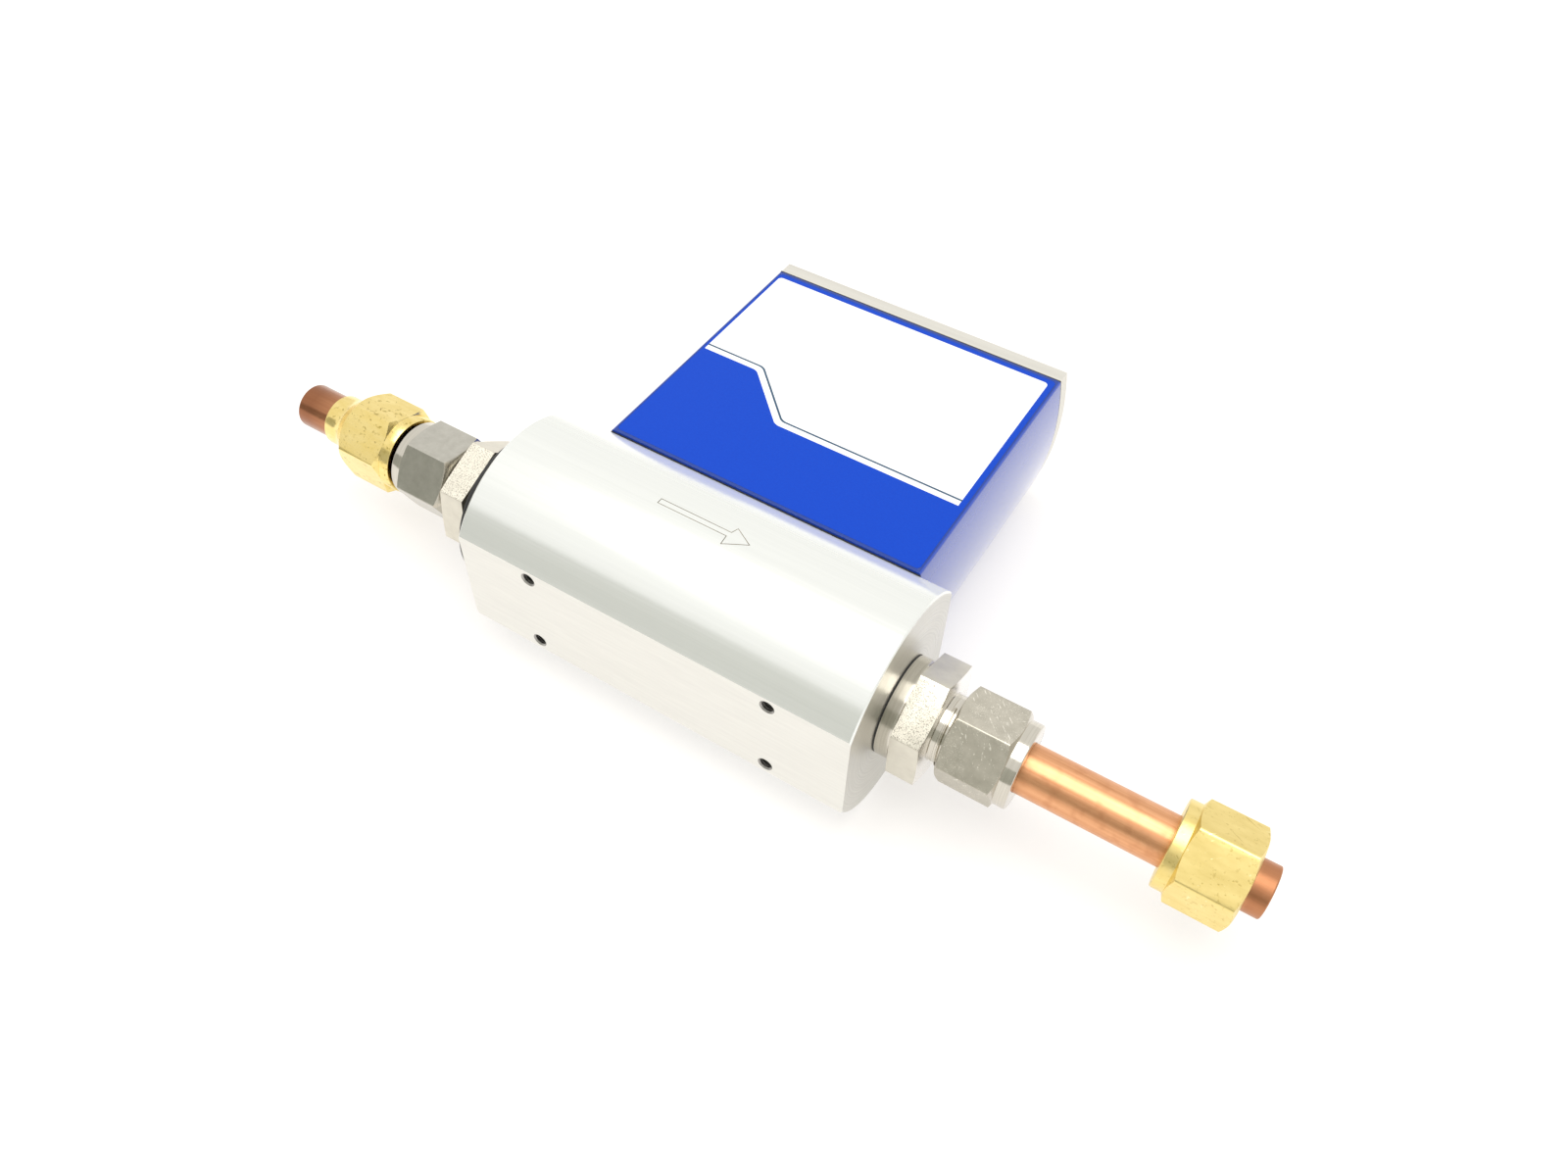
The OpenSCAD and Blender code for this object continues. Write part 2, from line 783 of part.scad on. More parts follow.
module sensor_seal() {
    groove_y = seat_height - flange_thickness - 3 * seal_section;
    color([0.08, 0.08, 0.08])
        upright(housing_shift, groove_y, 0)
            rotate_extrude()
                translate([plug_radius - seal_section, 0])
                    circle(r = seal_section - clearance / 2, $fn = 32);
}

// A probe with a round tip, from the plug down into the flow
module probe(side) {
    tip_y = axis_height - probe_overreach;
    upright(housing_shift + side * probe_spacing / 2, tip_y, 0)
        cylinder(r = probe_radius, h = plug_floor + 2 * probe_radius - tip_y);
    upright(housing_shift + side * probe_spacing / 2, tip_y, 0)
        sphere(r = probe_radius, $fn = 48);
}

module heater_probe() {
    color([0.8, 0.8, 0.8])
        probe(1);
}

module temperature_probe() {
    color([0.74, 0.74, 0.74])
        probe(-1);
}

// Four leads stand on the sensor's neck and lie against the board
module sensor_leads() {
    lead_radius = probe_radius / 2;
    neck_top = plate_top_y + sensor_neck_rise;
    color([0.85, 0.7, 0.3])
        for (i = [0 : 3])
            upright(housing_shift + (i - 1.5) * 3 * probe_radius, neck_top,
                board_thickness / 2 + lead_radius)
                cylinder(r = lead_radius, h = board_base_y - neck_top + 4 * probe_radius, $fn = 32);
}

// Corner of the housing outline that the edge radius takes away
module corner_waste() {
    centre_z = half_depth - edge_radius;
    reach = side_radius - edge_radius;
    centre_x = side_centre + sqrt(reach * reach - centre_z * centre_z);
    tilt = atan2(centre_z, centre_x - side_centre);
    difference() {
        polygon([
            [centre_x, centre_z],
            [centre_x, half_depth + overrun],
            [centre_x + overrun + 2 * edge_radius, half_depth + overrun],
            [centre_x + (edge_radius + overrun) * cos(tilt), centre_z + (edge_radius + overrun) * sin(tilt)]
        ]);
        translate([centre_x, centre_z])
            circle(r = edge_radius, $fn = 48);
    }
}

// Housing section seen from above, grown or shrunk by a margin
module housing_section(inset) {
    intersection() {
        square([housing_width + 2 * side_bulge, housing_depth - 2 * inset], center = true);
        translate([side_centre, 0])
            circle(r = side_radius - inset, $fn = 360);
        translate([-side_centre, 0])
            circle(r = side_radius - inset, $fn = 360);
    }
}

module rounded_section() {
    difference() {
        housing_section(0);
        for (side_x = [0, 1], side_z = [0, 1])
            mirror([side_x, 0])
                mirror([0, side_z])
                    corner_waste();
    }
}

// Raises a section drawn in X and Z from one height along Y
module raise(y, height) {
    translate([housing_shift, y + height, 0])
        rotate([90, 0, 0])
            linear_extrude(height = height)
                children();
}

module at_posts() {
    for (side_x = [-1, 1], side_z = [-1, 1])
        translate([side_x * post_x, side_z * post_z])
            children();
}

// Flat outline of the front foil, drawn in X and Y
module foil_outline(grow) {
    low_x = -half_width + label_margin - grow;
    high_x = half_width - label_margin + grow;
    low_y = housing_base_y + label_margin - grow;
    high_y = housing_top_y - label_margin + grow;
    corner = label_corner + grow;
    difference() {
        translate([low_x, low_y])
            square([high_x - low_x, high_y - low_y]);
        for (x = [low_x, high_x], y = [low_y, high_y])
            translate([x, y])
                rotate([0, 0, x == low_x ? (y == low_y ? 0 : 270) : (y == low_y ? 90 : 180)])
                    difference() {
                        translate([-overrun, -overrun])
                            square(corner + overrun);
                        translate([corner, corner])
                            circle(r = corner, $fn = 64);
                    }
    }
}

module front_foil() {
    color([0.16, 0.33, 0.84])
        translate([housing_shift, 0, half_depth - label_thickness])
            linear_extrude(height = label_thickness)
                foil_outline(0);
}

// Extruded housing with screw posts in its corners and ribs that hold the board
module housing_shell() {
    color([0.16, 0.32, 0.8])
        difference() {
            union() {
                raise(housing_base_y, housing_height)
                    difference() {
                        rounded_section();
                        housing_section(housing_wall);
                    }
                raise(plate_top_y + clearance, housing_top_y - plate_top_y - clearance)
                    intersection() {
                        housing_section(housing_wall / 2);
                        union() {
                            at_posts()
                                circle(r = channel_post_radius, $fn = 64);
                            board_ribs();
                        }
                    }
            }
            raise(housing_base_y - overrun, housing_height + 2 * overrun)
                at_posts()
                    circle(r = cover_screw_radius + clearance, $fn = 48);
            translate([housing_shift, 0, half_depth - label_thickness])
                linear_extrude(height = overrun)
                    foil_outline(clearance / 2);
        }
}

module board_ribs() {
    slot = board_thickness / 2 + clearance;
    reach = board_half_width - rib_depth;
    for (side_x = [0, 1], side_z = [-1, 1])
        mirror([side_x, 0])
            translate([reach, side_z * (slot + rib_thickness / 2) - rib_thickness / 2])
                square([half_width + side_bulge - reach, rib_thickness]);
}

module base_gasket() {
    color([0.06, 0.06, 0.06])
        difference() {
            raise(seat_height, base_gasket_thickness)
                intersection() {
                    rounded_section();
                    square([housing_width + 2 * side_bulge, 2 * seat_half_width()], center = true);
                }
            upright(housing_shift, seat_height - overrun, 0)
                cylinder(r = sensor_neck_radius + clearance, h = base_gasket_thickness + 2 * overrun);
            at_base_screws(seat_height - overrun)
                cylinder(r = base_screw_radius + clearance, h = base_gasket_thickness + 2 * overrun);
        }
}

// Places the base screws with their Z towards the top cover
module at_base_screws(y) {
    for (side_x = [-1, 1], side_z = [-1, 1])
        upright(housing_shift + side_x * base_spacing_x / 2, y, side_z * base_spacing_z / 2)
            children();
}

// Half of the flat seat's width on the round block
function seat_half_width() = min(half_depth, sqrt(pow(body_radius, 2) - pow(seat_height - axis_height, 2)));

module base_plate() {
    color([0.74, 0.75, 0.75])
        difference() {
            raise(housing_base_y, base_plate_thickness)
                housing_section(housing_wall + clearance);
            upright(housing_shift, housing_base_y - overrun, 0)
                cylinder(r = sensor_neck_radius + clearance, h = base_plate_thickness + 2 * overrun);
            at_base_screws(housing_base_y - overrun)
                cylinder(r = base_screw_radius + clearance, h = base_plate_thickness + 2 * overrun);
            at_base_screws(plate_top_y - base_head_height)
                cylinder(r = base_head_radius + clearance, h = base_head_height + overrun);
            raise(housing_base_y - overrun, base_plate_thickness + 2 * overrun)
                at_posts()
                    circle(r = cover_screw_radius, $fn = 48);
        }
}

module base_screws() {
    length = base_screw_bite + base_gasket_thickness + base_plate_thickness;
    color([0.6, 0.6, 0.6])
        at_base_screws(plate_top_y - length)
            difference() {
                union() {
                    cylinder(r = base_screw_radius, h = length - overrun);
                    translate([0, 0, length - base_head_height])
                        cylinder(r = base_head_radius, h = base_head_height);
                }
                translate([0, 0, length - base_head_height * socket_share])
                    cylinder(r = base_head_radius * socket_share, h = base_head_height, $fn = 6);
            }
}

module cover_gasket() {
    color([0.06, 0.06, 0.06])
        raise(housing_top_y, cover_gasket_thickness)
            difference() {
                housing_section(cover_inset / 2);
                difference() {
                    housing_section(housing_wall - cover_inset);
                    at_posts()
                        circle(r = channel_post_radius, $fn = 64);
                }
                at_posts()
                    circle(r = cover_screw_radius + clearance, $fn = 48);
            }
}

module top_cover() {
    color([0.8, 0.78, 0.73])
        difference() {
            raise(cover_base_y, cover_thickness)
                housing_section(cover_inset);
            at_cover_screws()
                cylinder(r = cover_screw_radius + clearance, h = cover_thickness + 3 * overrun);
            at_cover_screws()
                translate([0, 0, overrun + cover_thickness - cover_head_depth() - clearance])
                    cylinder(r1 = cover_screw_radius + clearance, r2 = cover_head_radius + 2 * clearance,
                        h = cover_head_depth() + clearance);
            at_cover_screws()
                translate([0, 0, overrun + cover_thickness - clearance])
                    cylinder(r = cover_head_radius + 2 * clearance, h = overrun + clearance);
            upright(connector_x, cover_base_y - overrun, 0)
                cylinder(r = connector_root_radius + clearance, h = cover_thickness + 2 * overrun);
            upright(housing_shift + button_offset, cover_base_y - overrun, 0)
                cylinder(r = button_radius + clearance, h = cover_thickness + 2 * overrun);
            for (i = [0, 1])
                upright(housing_shift + light_offset + i * light_spacing, cover_base_y - overrun, 0)
                    cylinder(r = light_radius, h = cover_thickness + 2 * overrun);
        }
}

function cover_head_depth() = cover_head_radius - cover_screw_radius;

module at_cover_screws() {
    for (side_x = [-1, 1], side_z = [-1, 1])
        upright(housing_shift + side_x * post_x, cover_base_y - overrun, side_z * post_z)
            children();
}

// Long countersunk screws that run from the cover through the posts into the base plate
module cover_screws() {
    length = cover_top_y - housing_base_y - clearance;
    color([0.64, 0.64, 0.62])
        for (side_x = [-1, 1], side_z = [-1, 1])
            upright(housing_shift + side_x * post_x, cover_top_y - clearance - length, side_z * post_z)
                difference() {
                    union() {
                        cylinder(r = cover_screw_radius, h = length - cover_head_depth() + clearance);
                        translate([0, 0, length - cover_head_depth()])
                            cylinder(r1 = cover_screw_radius, r2 = cover_head_radius, h = cover_head_depth());
                    }
                    translate([0, 0, length - cover_head_depth()])
                        cylinder(r = cover_head_radius * socket_share / 2,
                            h = cover_head_depth() + overrun, $fn = 6);
                }
}

module main_board() {
    color([0.1, 0.42, 0.22])
        translate([housing_shift - board_half_width, board_base_y, -board_thickness / 2])
            cube([2 * board_half_width, board_height, board_thickness]);
}

// One square chip on the board's front
module chip(place_share, rise_share, size) {
    translate([
        housing_shift + place_share * board_half_width - size / 2,
        board_base_y + rise_share * board_height - size / 2,
        board_thickness / 2
    ])
        cube([size, size, board_thickness]);
}

module processor_chips() {
    color([0.1, 0.1, 0.11])
        for (row = chip_shares)
            chip(row[0], row[1], chip_size * row[2]);
}

module capacitors() {
    color([0.3, 0.3, 0.45])
        for (i = [0 : 2])
            translate([
                housing_shift + board_half_width * can_shares[0] + i * can_radius * can_shares[2],
                board_base_y + board_height * can_shares[1],
                board_thickness / 2
            ])
                cylinder(r = can_radius, h = can_radius * can_shares[3], $fn = 48);
}

// Small switch on the board's upper edge, under the push button
module button_switch() {
    color([0.15, 0.15, 0.15])
        translate([housing_shift + button_offset - switch_size / 2, board_top_y, -switch_size / 2])
            cube([switch_size, switch_height, switch_size]);
}

module connector_shell() {
    color([0.75, 0.74, 0.7])
        difference() {
            union() {
                upright(connector_x, cover_base_y - connector_depth, 0)
                    cylinder(r = connector_root_radius, h = connector_depth + cover_thickness + overrun);
                upright(connector_x, cover_top_y, 0)
                    cylinder(r = connector_flange_radius, h = connector_flange_thickness);
                upright(connector_x, cover_top_y, 0)
                    rotate_extrude()
                        polygon([
                            [0, 0],
                            [connector_radius, 0],
                            [connector_radius, connector_height - body_bevel],
                            [connector_radius - body_bevel, connector_height],
                            [0, connector_height]
                        ]);
            }
            upright(connector_x, cover_base_y - connector_depth - overrun, 0)
                cylinder(r = connector_bore_radius,
                    h = connector_depth + cover_thickness + connector_height + 2 * overrun);
        }
}

module connector_insert() {
    color([0.07, 0.07, 0.07])
        difference() {
            upright(connector_x, cover_base_y - connector_depth, 0)
                cylinder(r = connector_bore_radius, h = insert_top_y - cover_base_y + connector_depth);
            at_pins()
                cylinder(r = pin_radius, h = cover_thickness + connector_depth + 2 * overrun, $fn = 32);
        }
}

// Places the contact pins from below the insert upwards
module at_pins() {
    for (i = [0 : pin_count])
        upright(
            connector_x + (i == pin_count ? 0 : pin_ring_radius * cos(360 * i / pin_count)),
            cover_base_y - connector_depth - overrun,
            i == pin_count ? 0 : pin_ring_radius * sin(360 * i / pin_count))
            children();
}

module connector_pins() {
    color([0.88, 0.72, 0.32])
        at_pins()
            cylinder(r = pin_radius, h = insert_top_y - cover_base_y + connector_depth + overrun + pin_reach,
                $fn = 32);
}

module connector_lock_nut() {
    color([0.78, 0.78, 0.76])
        upright(connector_x, cover_base_y - lock_nut_thickness, 0)
            difference() {
                cylinder(r = lock_nut_flats / sqrt(3), h = lock_nut_thickness, $fn = 6);
                translate([0, 0, -overrun])
                    cylinder(r = connector_root_radius, h = lock_nut_thickness + 2 * overrun);
            }
}

// Button cap with a flange below the cover and a stem that reaches the switch
module push_button() {
    flange = button_radius + board_thickness / 2;
    stem_base = switch_top_y + button_travel + clearance;
    flange_top = cover_base_y - clearance;
    color([0.12, 0.12, 0.13]) {
        upright(housing_shift + button_offset, flange_top - board_thickness, 0)
            cylinder(r = button_radius, h = cover_top_y + button_height - flange_top + board_thickness);
        upright(housing_shift + button_offset, flange_top - board_thickness, 0)
            cylinder(r = flange, h = board_thickness);
        upright(housing_shift + button_offset, stem_base, 0)
            cylinder(r = button_radius / 2, h = flange_top - stem_base - board_thickness / 2);
    }
}

module status_lights() {
    color([0.85, 0.9, 0.88])
        for (i = [0, 1])
            upright(housing_shift + light_offset + i * light_spacing, board_top_y, 0)
                cylinder(r = light_radius, h = cover_top_y + light_radius / 5 - board_top_y, $fn = 48);
}

flow_body();
inlet_screens();
screen_spacers();
inlet_adapter();
inlet_seal();
inlet_fitting();
inlet_front_ferrule();
inlet_back_ferrule();
inlet_nut();
inlet_tube();
inlet_flare_nut();
outlet_seal();
outlet_fitting();
outlet_front_ferrule();
outlet_back_ferrule();
outlet_nut();
outlet_tube();
loose_front_ferrule();
loose_back_ferrule();
outlet_brass_nut();
sensor_plug();
sensor_seal();
heater_probe();
temperature_probe();
sensor_leads();
base_gasket();
base_plate();
base_screws();
housing_shell();
front_foil();
cover_gasket();
top_cover();
cover_screws();
main_board();
processor_chips();
capacitors();
button_switch();
connector_shell();
connector_insert();
connector_pins();
connector_lock_nut();
push_button();
status_lights();
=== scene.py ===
import math
import bpy
import bmesh
from mathutils import Matrix, Vector


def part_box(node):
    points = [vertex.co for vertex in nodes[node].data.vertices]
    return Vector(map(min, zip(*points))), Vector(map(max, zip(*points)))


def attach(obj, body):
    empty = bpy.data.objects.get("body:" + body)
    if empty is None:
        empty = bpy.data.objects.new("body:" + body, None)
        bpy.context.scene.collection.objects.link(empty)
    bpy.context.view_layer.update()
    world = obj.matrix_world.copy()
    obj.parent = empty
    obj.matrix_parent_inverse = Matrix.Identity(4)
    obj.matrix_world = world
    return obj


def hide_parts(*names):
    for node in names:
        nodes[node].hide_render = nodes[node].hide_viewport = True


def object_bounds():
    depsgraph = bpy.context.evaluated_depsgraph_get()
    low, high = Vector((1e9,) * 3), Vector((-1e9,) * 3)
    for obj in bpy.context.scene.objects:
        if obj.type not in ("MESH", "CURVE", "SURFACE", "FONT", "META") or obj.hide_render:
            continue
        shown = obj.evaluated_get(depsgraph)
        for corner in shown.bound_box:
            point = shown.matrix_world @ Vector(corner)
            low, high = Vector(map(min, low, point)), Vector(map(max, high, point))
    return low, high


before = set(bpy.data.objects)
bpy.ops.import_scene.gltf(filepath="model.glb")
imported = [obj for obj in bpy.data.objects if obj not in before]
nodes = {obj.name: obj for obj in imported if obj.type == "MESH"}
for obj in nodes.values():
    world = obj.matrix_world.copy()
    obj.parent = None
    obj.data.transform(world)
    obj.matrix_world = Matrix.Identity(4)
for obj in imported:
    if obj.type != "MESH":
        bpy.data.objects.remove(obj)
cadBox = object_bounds()
mm = 0.001
scene = bpy.context.scene
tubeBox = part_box("outlet_tube")
axisY = (tubeBox[0].y + tubeBox[1].y) / 2
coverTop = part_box("top_cover")[1].y / mm
print("stage: frame loaded,", len(nodes), "nodes")

cameraValues = {
    "place": (114.464, -133.705, 239.212),
    "look": (-0.3209, 0.5583, -0.7651),
    "up": (-0.4192, 0.6407, 0.6433),
    "lens": 27.89,
    "sensor": 36,
}


def makeCamera(v):
    data = bpy.data.cameras.new("photoCamera")
    data.lens = v["lens"]
    data.sensor_width = v["sensor"]
    data.sensor_fit = "HORIZONTAL"
    data.clip_start = 0.01
    data.clip_end = 50
    cam = bpy.data.objects.new("photoCamera", data)
    scene.collection.objects.link(cam)
    look = Vector(v["look"]).normalized()
    right = look.cross(Vector(v["up"])).normalized()
    turn = Matrix((right, right.cross(look), -look)).transposed().to_4x4()
    cam.matrix_world = Matrix.Translation(Vector(v["place"]) * mm) @ turn
    scene.camera = cam


makeCamera(cameraValues)

studio = {
    "floorColour": (0.44, 0.435, 0.43),
    "floorGlow": (0.57, 0.558, 0.545),
    "floorSize": 12,
    "skyColour": (1.0, 0.985, 0.95),
    "skyStrength": 1.0,
    "lampHeight": 1.5,
    "lampPower": 14,
    "lampSize": (1.25, 1.15),
    "lampShift": (-0.05, -0.12),
    "lampColour": (1, 0.985, 0.955),
    "cardColour": (0.41, 0.42, 0.385),
    "cardSize": (3.8, 0.98),
    "cardPlace": (-0.2, -1.25, 0.492),
}


def plainMaterial(name, colour, roughness, glow=None):
    mat = bpy.data.materials.new(name)
    mat.use_nodes = True
    shader = mat.node_tree.nodes["Principled BSDF"]
    shader.inputs["Base Color"].default_value = (*colour, 1)
    shader.inputs["Roughness"].default_value = roughness
    shader.inputs["Specular IOR Level"].default_value = 0.2
    if glow:
        shader.inputs["Emission Color"].default_value = (*glow, 1)
        shader.inputs["Emission Strength"].default_value = 1
    return mat


def stagePlane(name, size, place, turn, material):
    bm = bmesh.new()
    bmesh.ops.create_grid(bm, x_segments=1, y_segments=1, size=0.5)
    bmesh.ops.scale(bm, vec=(*size, 1), verts=bm.verts)
    bmesh.ops.rotate(bm, cent=(0, 0, 0), matrix=Matrix.Rotation(math.radians(turn), 3, "X"), verts=bm.verts)
    bmesh.ops.translate(bm, vec=place, verts=bm.verts)
    mesh = bpy.data.meshes.new(name)
    bm.to_mesh(mesh)
    bm.free()
    mesh.materials.append(material)
    obj = bpy.data.objects.new(name, mesh)
    scene.collection.objects.link(obj)
    return obj


def makeStudio(v):
    floorZ = cadBox[0].z
    size = v["floorSize"]
    stagePlane("floor", (size, size), (0, 0, floorZ), 0,
               plainMaterial("paleFloor", v["floorColour"], 0.6, v["floorGlow"]))
    # the dark card gives the metal its dark bands, and only reflections see it
    x, y, z = v["cardPlace"]
    card = stagePlane("darkCard", v["cardSize"], (x, y, floorZ + z), 90,
                      plainMaterial("cardGrey", v["cardColour"], 1))
    card.visible_camera = False
    card.visible_shadow = False
    card.visible_diffuse = False
    world = bpy.data.worlds.new("studioSky")
    scene.world = world
    world.use_nodes = True
    sky = world.node_tree.nodes["Background"]
    sky.inputs["Color"].default_value = (*v["skyColour"], 1)
    sky.inputs["Strength"].default_value = v["skyStrength"]
    data = bpy.data.lights.new("overheadSoftbox", "AREA")
    data.shape = "RECTANGLE"
    data.size, data.size_y = v["lampSize"]
    data.energy = v["lampPower"]
    data.color = v["lampColour"]
    lamp = bpy.data.objects.new("overheadSoftbox", data)
    lamp.location = (*v["lampShift"], v["lampHeight"])
    scene.collection.objects.link(lamp)
    scene.view_settings.view_transform = "Standard"
    scene.view_settings.look = "None"


makeStudio(studio)
print("stage: camera, floor and light made")


# helpers for meshes: a turned or milled shape is drawn about X in millimetres, then laid in place

def spinProfile(points, steps=144, segments=3):
    # points are (place, radius) or (place, radius, rounding) of a closed section
    bm = bmesh.new()
    ring = [bm.verts.new((p[0] * mm, 0, p[1] * mm)) for p in points]
    bm.faces.new(ring)
    for rounding in sorted({p[2] for p in points if len(p) > 2}):
        corners = [v for v, p in zip(ring, points) if len(p) > 2 and p[2] == rounding]
        bmesh.ops.bevel(bm, geom=corners, offset=rounding * mm, affect="VERTICES", segments=segments,
                        profile=0.5, material=-1, clamp_overlap=True)
    bmesh.ops.delete(bm, geom=bm.faces[:], context="FACES_ONLY")
    bmesh.ops.spin(bm, geom=bm.verts[:] + bm.edges[:], cent=(0, 0, 0), axis=(1, 0, 0), dvec=(0, 0, 0),
                   angle=math.tau, steps=steps, use_merge=True)
    bmesh.ops.remove_doubles(bm, verts=bm.verts, dist=1e-7)
    bmesh.ops.delete(bm, geom=[e for e in bm.edges if not e.link_faces], context="EDGES")
    bmesh.ops.recalc_face_normals(bm, faces=bm.faces)
    return bm


def threadCoil(inner, outer, pitch, length, base, crest, steps=48):
    # the ridge of a screw thread as a closed coil along X
    bm = bmesh.new()
    middle = base / 2
    section = ((0, inner), (base, inner), (middle + crest / 2, outer), (middle - crest / 2, outer))
    face = bm.faces.new([bm.verts.new((x * mm, 0, r * mm)) for x, r in section])
    turns = (length - base) / pitch
    count = int(turns * steps)
    bmesh.ops.spin(bm, geom=[face], cent=(0, 0, 0), axis=(1, 0, 0), dvec=(pitch * mm / steps, 0, 0),
                   angle=math.tau * count / steps, steps=count, use_merge=False)
    bmesh.ops.recalc_face_normals(bm, faces=bm.faces)
    return bm


def hexBar(flats, turn, low, high, ridge):
    # a hexagon bar along X whose six long edges are rounded
    bm = bmesh.new()
    bmesh.ops.create_circle(bm, cap_ends=True, segments=6, radius=flats / math.sqrt(3) * mm)
    toCorner = Matrix.Rotation(math.radians(turn + 30), 3, "Z")
    bmesh.ops.rotate(bm, cent=(0, 0, 0), matrix=toCorner, verts=bm.verts)
    grown = bmesh.ops.extrude_face_region(bm, geom=bm.faces[:])
    top = [e for e in grown["geom"] if isinstance(e, bmesh.types.BMVert)]
    bmesh.ops.translate(bm, vec=(0, 0, (high - low) * mm), verts=top)
    ridges = [e for e in bm.edges if abs(e.verts[0].co.z - e.verts[1].co.z) > (high - low) * mm / 2]
    bmesh.ops.bevel(bm, geom=ridges, offset=ridge * mm, affect="EDGES", segments=3, profile=0.5,
                    material=-1, clamp_overlap=True)
    bmesh.ops.rotate(bm, cent=(0, 0, 0), matrix=Matrix.Rotation(math.radians(90), 3, "Y"), verts=bm.verts)
    bmesh.ops.translate(bm, vec=(low * mm, 0, 0), verts=bm.verts)
    bmesh.ops.recalc_face_normals(bm, faces=bm.faces)
    return bm


def threadOf(v, inner, outer, length, start):
    # a coil by a piece's own thread values, from its start along X
    pitch = v["pitch"]
    coil = threadCoil(inner, outer, pitch, length, pitch * v["rootShare"], pitch * v["crestShare"],
                      v["coilSteps"])
    bmesh.ops.translate(coil, vec=(start * mm, 0, 0), verts=coil.verts)
    return coil


def layAlong(bm, start, way=1):
    # onto the flow axis, looking to the outlet or, with way -1, to the inlet
    if way < 0:
        bmesh.ops.rotate(bm, cent=(0, 0, 0), matrix=Matrix.Rotation(math.pi, 3, "Y"), verts=bm.verts)
    bmesh.ops.translate(bm, vec=(start * mm, axisY, 0), verts=bm.verts)
    return bm


def standUp(bm, x, y, z=0):
    # upright, with its length towards the top cover
    bmesh.ops.rotate(bm, cent=(0, 0, 0), matrix=Matrix.Rotation(math.pi / 2, 3, "Z"), verts=bm.verts)
    bmesh.ops.translate(bm, vec=(x * mm, y * mm, z * mm), verts=bm.verts)
    return bm


def join(*parts):
    # several closed shapes as one mesh
    mesh = bpy.data.meshes.new("joined")
    whole = bmesh.new()
    for part in parts:
        part.to_mesh(mesh)
        whole.from_mesh(mesh)
        part.free()
    bpy.data.meshes.remove(mesh)
    return whole


def looseObject(name, bm, slots=1):
    mesh = bpy.data.meshes.new(name)
    bm.to_mesh(mesh)
    bm.free()
    for i in range(slots):
        mesh.materials.append(None)
    obj = bpy.data.objects.new(name, mesh)
    scene.collection.objects.link(obj)
    return obj


def combine(base, tool, operation, slots=1):
    # exact boolean of two meshes, which are used up
    a = looseObject("cutBase", base, slots)
    b = looseObject("cutTool", tool, slots)
    mod = a.modifiers.new("cut", "BOOLEAN")
    mod.operation = operation
    mod.solver = "EXACT"
    mod.object = b
    bpy.context.view_layer.update()
    result = bmesh.new()
    result.from_object(a, bpy.context.evaluated_depsgraph_get())
    for obj in (a, b):
        mesh = obj.data
        bpy.data.objects.remove(obj)
        bpy.data.meshes.remove(mesh)
    bmesh.ops.remove_doubles(result, verts=result.verts, dist=2e-6)
    bmesh.ops.dissolve_degenerate(result, edges=result.edges, dist=1e-6)
    return result


def copyOf(node):
    bm = bmesh.new()
    bm.from_mesh(nodes[node].data)
    for face in bm.faces:
        face.material_index = 0
    bmesh.ops.remove_doubles(bm, verts=bm.verts, dist=1e-6)
    return bm


def finishPiece(name, bm, body, materials, replaced, smooth):
    mesh = bpy.data.meshes.new(name)
    openEdges = sum(1 for e in bm.edges if len(e.link_faces) != 2)
    print("piece", name, len(bm.faces), "faces,", openEdges, "open edges")
    bm.to_mesh(mesh)
    bm.free()
    mesh.shade_smooth()
    mesh.set_sharp_from_angle(angle=math.radians(smooth))
    for material in materials:
        mesh.materials.append(material)
    obj = bpy.data.objects.new(name, mesh)
    scene.collection.objects.link(obj)
    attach(obj, body)
    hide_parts(*replaced)
    return obj


# helpers for materials

def addNode(mat, kind, inputs=None, **settings):
    node = mat.node_tree.nodes.new("ShaderNode" + kind)
    for key, value in settings.items():
        setattr(node, key, value)
    for key, value in (inputs or {}).items():
        if isinstance(value, bpy.types.NodeSocket):
            mat.node_tree.links.new(value, node.inputs[key])
        else:
            node.inputs[key].default_value = value
    return node


def spread(mat, value, low, high, fromLow, fromHigh):
    node = addNode(mat, "MapRange", {"Value": value, "From Min": fromLow, "From Max": fromHigh,
                                     "To Min": low, "To Max": high}, clamp=True)
    return node.outputs["Result"]


def grainNoise(mat, place, scale, detail=5, rough=0.6):
    # noise with its own scale per metre along X, Y and Z, so it can be drawn out to streaks
    laid = addNode(mat, "Mapping", {"Vector": place, "Scale": scale}).outputs["Vector"]
    node = addNode(mat, "TexNoise", {"Vector": laid, "Scale": 1, "Detail": detail, "Roughness": rough})
    return node.outputs["Fac"]


def ringNoise(mat, place, centre, keep, frequency, detail=6):
    # noise that runs in circles about a line, as turning leaves it
    moved = addNode(mat, "VectorMath", {0: place, 1: centre}, operation="SUBTRACT").outputs[0]
    flat = addNode(mat, "VectorMath", {0: moved, 1: keep}, operation="MULTIPLY").outputs[0]
    radius = addNode(mat, "VectorMath", {0: flat}, operation="LENGTH").outputs["Value"]
    node = addNode(mat, "TexNoise", {"W": radius, "Scale": frequency, "Detail": detail, "Roughness": 0.7},
                   noise_dimensions="1D")
    return node.outputs["Fac"]


def mixColour(mat, fac, a, b):
    node = addNode(mat, "Mix", {0: fac, 6: a, 7: b}, data_type="RGBA", blend_type="MIX")
    return node.outputs[2]


def sinkIn(mat, mask, depth, normal):
    # a mask pressed in by its depth, over whatever relief is there already
    bump = addNode(mat, "Bump", {"Strength": 1, "Distance": -depth * mm, "Height": mask})
    if normal:
        mat.node_tree.links.new(normal, bump.inputs["Normal"])
    return bump.outputs["Normal"]


